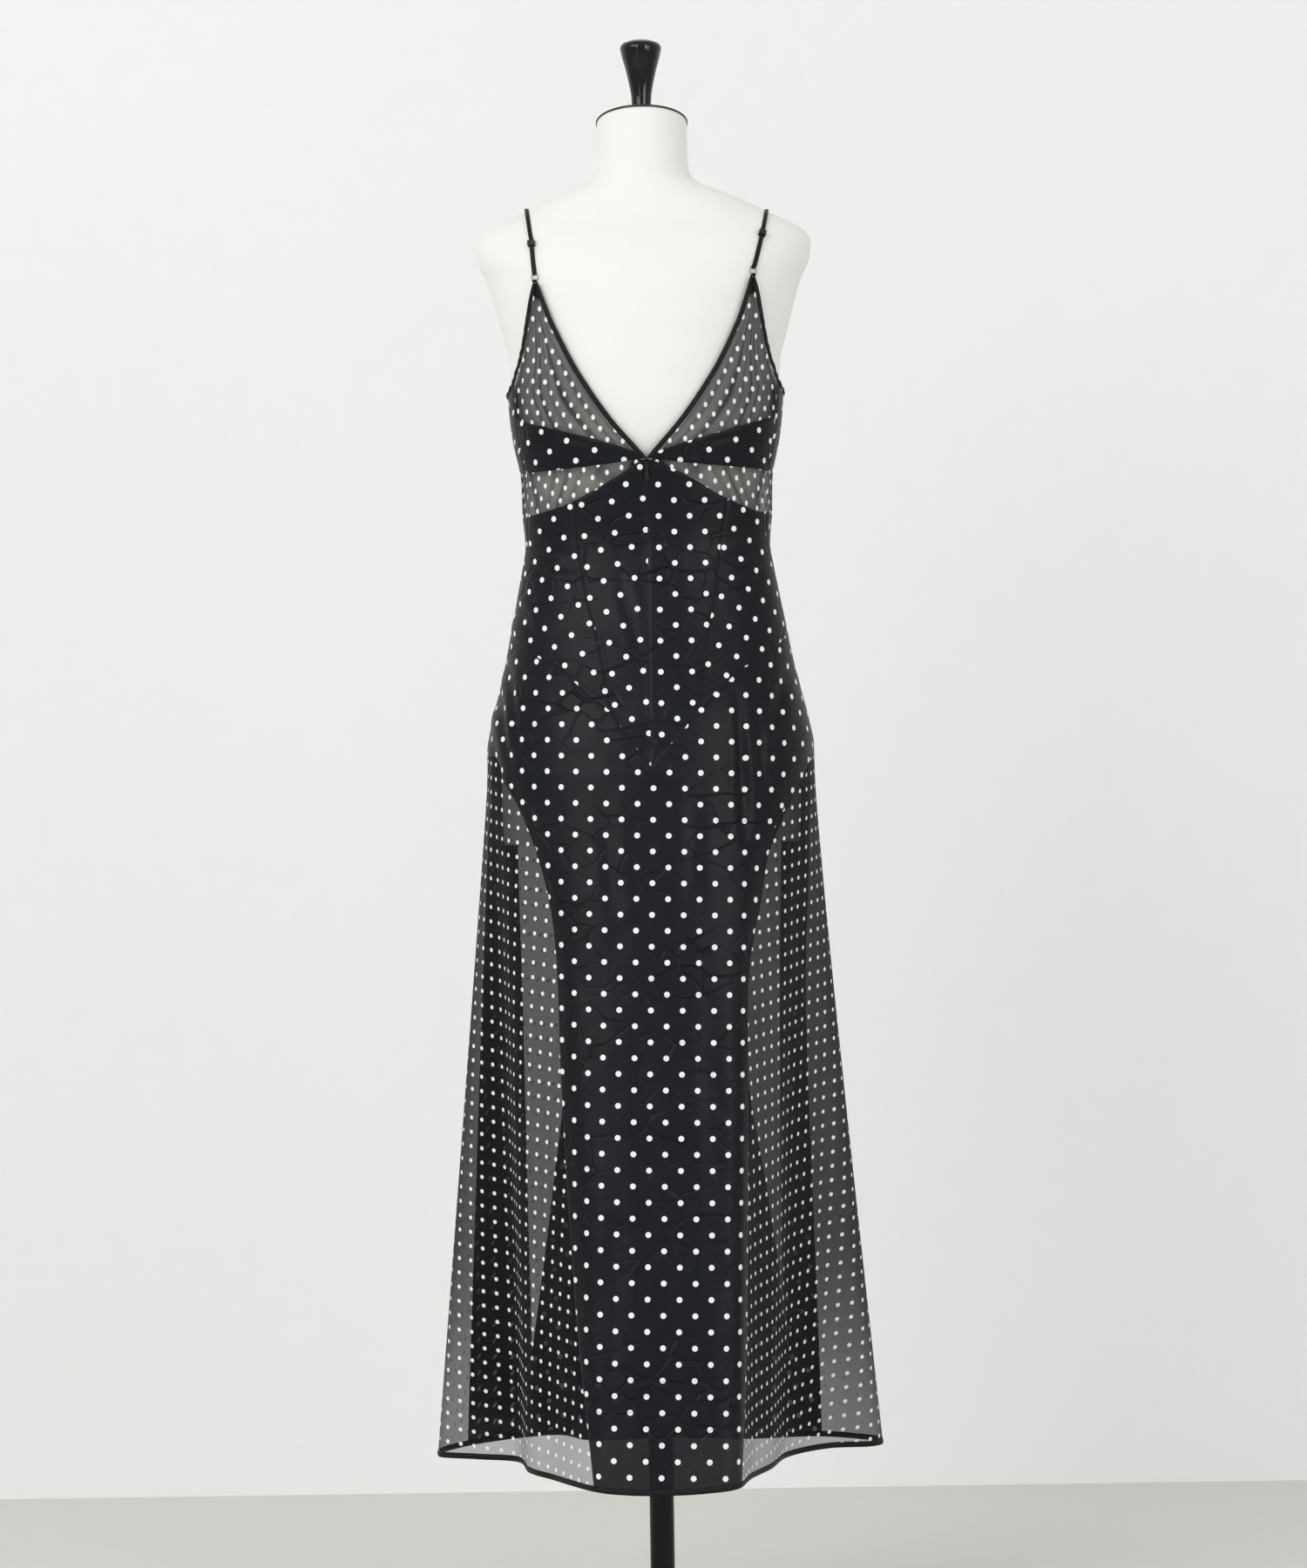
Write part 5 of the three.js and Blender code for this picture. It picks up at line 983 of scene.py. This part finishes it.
mix = lambda a, b, share: a + (b - a) * share
for sign, tag in ((-1, "L"), (1, "R")):
    sliderX, sliderZ, topX = strapPlaces[sign]
    ringSpot = formSurface(sign * backApex[sign][0], backApex[sign][1] + strapLook["aboveApex"], "back")
    axes = formAxes(ringSpot)
    ringX = abs(ringSpot[0])

    def onBack(z, height):
        x = ringX + (sliderX - ringX) * (z - ringSpot[2]) / (sliderZ - ringSpot[2])
        spot = formSurface(sign * x, z, "back")
        out, _, across = formAxes(spot)
        return spot + out * height, across

    top, below = sliderZ + sliderLook["height"] / 2, sliderZ - sliderLook["height"] / 2
    near = ringSpot[2] + strapLook["aboveApex"]
    rows = [onBack(top, sliderHigh), onBack(below, sliderHigh), onBack(near, layerHigh),
            *[(p, axes[2]) for p in ringTurn(ringSpot, axes, 1)],
            onBack(near, layerLow), onBack(below, sliderLow), onBack(top, sliderLow)]
    ridgeZ = next(z for z in np.arange(1600, 1545, -0.3) if np.interp(z, heightSamples, formTables[0]) > topX)
    startX, startZ, low = abs(rows[-1][0][0]), rows[-1][0][2], layerLow + strapLook["lift"]
    over = []
    for i in range(7):
        share = 1 - (1 - (i + 1) / 7) ** 2
        over.append((mix(startX, topX, share), mix(startZ, ridgeZ, share), "back", low))
    for i in range(14):
        share = ((i + 1) / 14) ** 2
        x, z = mix(topX, frontApex[0], share), mix(ridgeZ, frontApex[1] + strapLook["loopEnd"], share)
        over.append((x, z, "front", mix(low, strapLook["frontLift"], share ** 4)))
    for x, z, face, height in over:
        spot = formSurface(sign * x, z, face)
        rows.append((spot + formAxes(spot)[0] * height, np.array([1.0, 0, 0])))
    ribbon("strap_" + tag, [p for p, _ in rows], [a for _, a in rows], strapLook["finer"])
    end = ringSpot + axes[1] * (strapLook["loopEnd"] - strapLook["aboveApex"])
    loop = [end + axes[0] * layerHigh, *ringTurn(ringSpot, axes, -1), end + axes[0] * layerLow]
    ribbon("back_apex_loop_" + tag, loop, [axes[2]] * len(loop))
    # The ring, turned into place with its shape in its mesh
    bpy.ops.object.select_all(action="DESELECT")
    bpy.ops.mesh.primitive_torus_add(major_radius=strapLook["ring"] * mm, minor_radius=strapLook["wire"] * mm,
                                     major_segments=48, minor_segments=14)
    ring = bpy.context.object
    ring.name = "strap_ring_%s_metal" % tag
    out, up, acrossAxis = axes
    columns = np.stack([acrossAxis, up, out, (ringSpot + out * ringHeight) * mm], 1)
    ring.data.transform(Matrix([*columns.tolist(), (0, 0, 0, 1)]))
    bpy.ops.object.shade_smooth()
    ring.data.materials.append(silver)
    place(ring, "strap_ring_" + tag, "silver")
print("stage: straps and rings")

# The form, its neck disc, finial, pole and base
formLook = dict(segments=128, step=4, low=886, high=1682, seamDip=0.004, seamWidth=1.2)
# The top of the neck falls this much per mm towards the front, from this height on
neckSlant = dict(fall=0.26, fromZ=1620, topZ=1682, finialZ=1685.3, footHeight=14, back=50)
formHeights = np.arange(formLook["low"], formLook["high"] + 0.1, formLook["step"])
formHeights = np.concatenate([[formLook["low"]], formHeights[1:-1], [formLook["high"]]])
formAngles = np.linspace(0, 360, formLook["segments"], endpoint=False)
grid = np.stack(np.meshgrid(formAngles, formHeights), -1)
fx, fy = ovalPoint(formTables, grid[..., 0], grid[..., 1], formSquareness)
formRings = np.stack([fx, fy, grid[..., 1]], -1)
# A shallow seam runs down the centre back, the centre front and the sides of the form's cover
for seam in (0, 90, 180, 270):
    away = np.abs((formAngles - seam + 180) % 360 - 180)
    dip = 1 - formLook["seamDip"] * np.exp(-((away / formLook["seamWidth"]) ** 2))
    formRings[..., :2] *= dip[None, :, None]
form = sweep("form_torso_cloth", formRings, formCloth, "form_torso", "form_cloth")


def slantNeck(obj):
    n = neckSlant
    for vertex in obj.data.vertices:
        x, y, z = vertex.co / mm
        share = min((z - n["fromZ"]) / (n["topZ"] - n["fromZ"]), 1 - (z - n["finialZ"]) / n["footHeight"], 1)
        vertex.co.z = (z - n["fall"] * (y + n["back"]) * max(share, 0)) * mm
    obj.data.update()


# A piece turned on a lathe: a disc, extruded and resized from ring to ring
def turned(name, profile, segments, material, node, slot):
    bpy.ops.object.select_all(action="DESELECT")
    radius, z = profile[0]
    bpy.ops.mesh.primitive_circle_add(
        vertices=segments, radius=radius * mm, fill_type="NGON", location=(0, 0, z * mm))
    obj = bpy.context.object
    bpy.ops.object.transform_apply(location=True)
    bpy.ops.object.mode_set(mode="EDIT")
    bpy.ops.mesh.select_all(action="SELECT")
    for (r0, z0), (r1, z1) in zip(profile, profile[1:]):
        bpy.ops.mesh.extrude_region_move(TRANSFORM_OT_translate={"value": (0, 0, (z1 - z0) * mm)})
        bpy.ops.transform.resize(value=(r1 / r0, r1 / r0, 1), center_override=(0, 0, z1 * mm))
    bpy.ops.mesh.select_all(action="SELECT")
    bpy.ops.mesh.normals_make_consistent(inside=False)
    bpy.ops.object.mode_set(mode="OBJECT")
    obj.name = name
    bpy.ops.object.shade_smooth_by_angle(angle=math.radians(40))
    obj.data.materials.append(material)
    return place(obj, node, slot)


# Profiles, as radius and height
finialRows = [(10, 0), (11, 14), (16, 40), (22, 63), (22.6, 67), (20.5, 71.5), (12, 75.3)]
finialLow = neckSlant["finialZ"]
heights = np.concatenate([np.linspace(0, 63, 18), np.linspace(64, 75.2, 14)])
finialProfile = [(smoothValue([(z, r) for r, z in finialRows], 1, h), finialLow + h) for h in heights]
finialProfile += [(6, finialLow + 76.1), (1, finialLow + 76.4)]
discProfile = [(49.4, 1682.3), (50, 1682.8), (50, 1684.5), (49.4, 1685)]
poleProfile = [(13.3, 12.3), (13.3, 449), (13.3, 885.7)]
baseProfile = [(178, 0.0), (180, 2), (180, 10), (178.5, 11.6), (177, 12), (26, 12), (24, 13), (24, 41),
               (23, 43.4), (21.5, 44), (14.2, 44)]
finial = turned("form_finial_gloss", finialProfile, 64, blackGloss, "form_finial", "black_gloss")
disc = turned("form_neck_disc_gloss", discProfile, 96, discEdge, "form_neck_disc", "black_gloss")
for slanted in (form, finial, disc):
    slantNeck(slanted)
turned("form_pole_gloss", poleProfile, 64, poleGloss, "form_pole", "black_gloss")
turned("form_base_metal", baseProfile, 128, blackMetal, "form_base", "black_metal")
for node, finish in (("zip_slider", enamel), ("zip_pull", enamel), ("strap_slider_L", blackPlastic),
                     ("strap_slider_R", blackPlastic)):
    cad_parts[node].data.materials.clear()
    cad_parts[node].data.materials.append(finish)
print("stage: form and stand")

# The flat cut: each shell's area, in square metres
cuts = {}
for node, obj in panels.items():
    area = sum(p.area for p in obj.data.polygons)
    heights = [v.co.z for v in obj.data.vertices]
    gathered = any(word in node for word in gathers)
    held = "gathered" if gathered else "hung" if "skirt" in node else "stretched"
    cuts[node] = round(area, 4)
print("cut areas in square metres:", json.dumps(cuts))

# Floor and wall: the wall has one side, and past it one looks through to the front of the dress
stageLook = dict(wall=(252, 253, 252), floor=(226, 225, 220), wallY=1.29, width=14.0, floorWidth=28.0)
wall = plainMaterial("wall", stageLook["wall"], 0.95, specular=0.1, oneSided=True)
floor = plainMaterial("floor", stageLook["floor"], 0.8, specular=0.15)


def stagePlane(name, material, **at):
    bpy.ops.object.select_all(action="DESELECT")
    bpy.ops.mesh.primitive_plane_add(**at)
    plane = bpy.context.object
    plane.name = name
    plane.data.materials.append(material)
    return plane


wide = stageLook["width"]
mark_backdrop(stagePlane("floor", floor, size=stageLook["floorWidth"], location=(0, 0, 0)),
         stagePlane("wall", wall, size=wide, location=(0, stageLook["wallY"], wide / 2),
                    rotation=(math.pi / 2, 0, 0)))

# Light: an even white room with a large soft light from the left and front
lightLook = dict(world=0.66, key=88.0, fill=25.0, strip=30.0)
scene.world = bpy.data.worlds.new("room")
scene.world.use_nodes = True
room = scene.world.node_tree.nodes["Background"]
room.inputs["Color"].default_value = (1, 1, 1, 1)
room.inputs["Strength"].default_value = lightLook["world"]


def areaLight(name, power, size, at, aim, tall=None):
    data = bpy.data.lights.new(name, "AREA")
    data.energy, data.shape, data.size = power, "RECTANGLE", size
    data.size_y = tall or size
    light = bpy.data.objects.new(name, data)
    light.location = at
    light.rotation_euler = (Vector(aim) - Vector(at)).to_track_quat("-Z", "Y").to_euler()
    scene.collection.objects.link(light)
    return light


areaLight("key", lightLook["key"], 3.0, (-2.6, -3.6, 3.0), (0, 0, 1.1))
areaLight("fill", lightLook["fill"], 2.0, (2.8, -3.4, 1.6), (0, 0, 1.0))
# Two tall narrow lights give the turned knob its long highlights and leave the rest as it is
for side, wide, x in (("left", 0.1, -0.75), ("right", 0.3, 1.25)):
    strip = areaLight(side + " strip", lightLook["strip"] * wide, wide, (x, -2.1, 1.9), (0, 0, 1.72), 1.5)
    strip.visible_diffuse = False

# Camera: level with the hips, five and a half metres back, rolled by less than a degree
cameraLook = dict(height=0.95, distance=5.5, x=0.0024, roll=0.0146, lens=115.8, sensor=36)
cameraData = bpy.data.cameras.new("camera")
cameraData.lens, cameraData.sensor_width = cameraLook["lens"], cameraLook["sensor"]
camera = bpy.data.objects.new("camera", cameraData)
camera.location = (cameraLook["x"], -cameraLook["distance"], cameraLook["height"])
c, s = math.cos(cameraLook["roll"]), math.sin(cameraLook["roll"])
camera.rotation_euler = Matrix(((c, s, 0), (0, 0, -1), (-s, c, 0))).to_euler()
scene.collection.objects.link(camera)
scene.camera = camera
scene.view_settings.view_transform = "Standard"
scene.cycles.transparent_max_bounces = 24

plain = lambda b: [[float(x) for x in row] for row in b]
{"cad": plain(cadBounds), "scene": plain(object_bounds())}
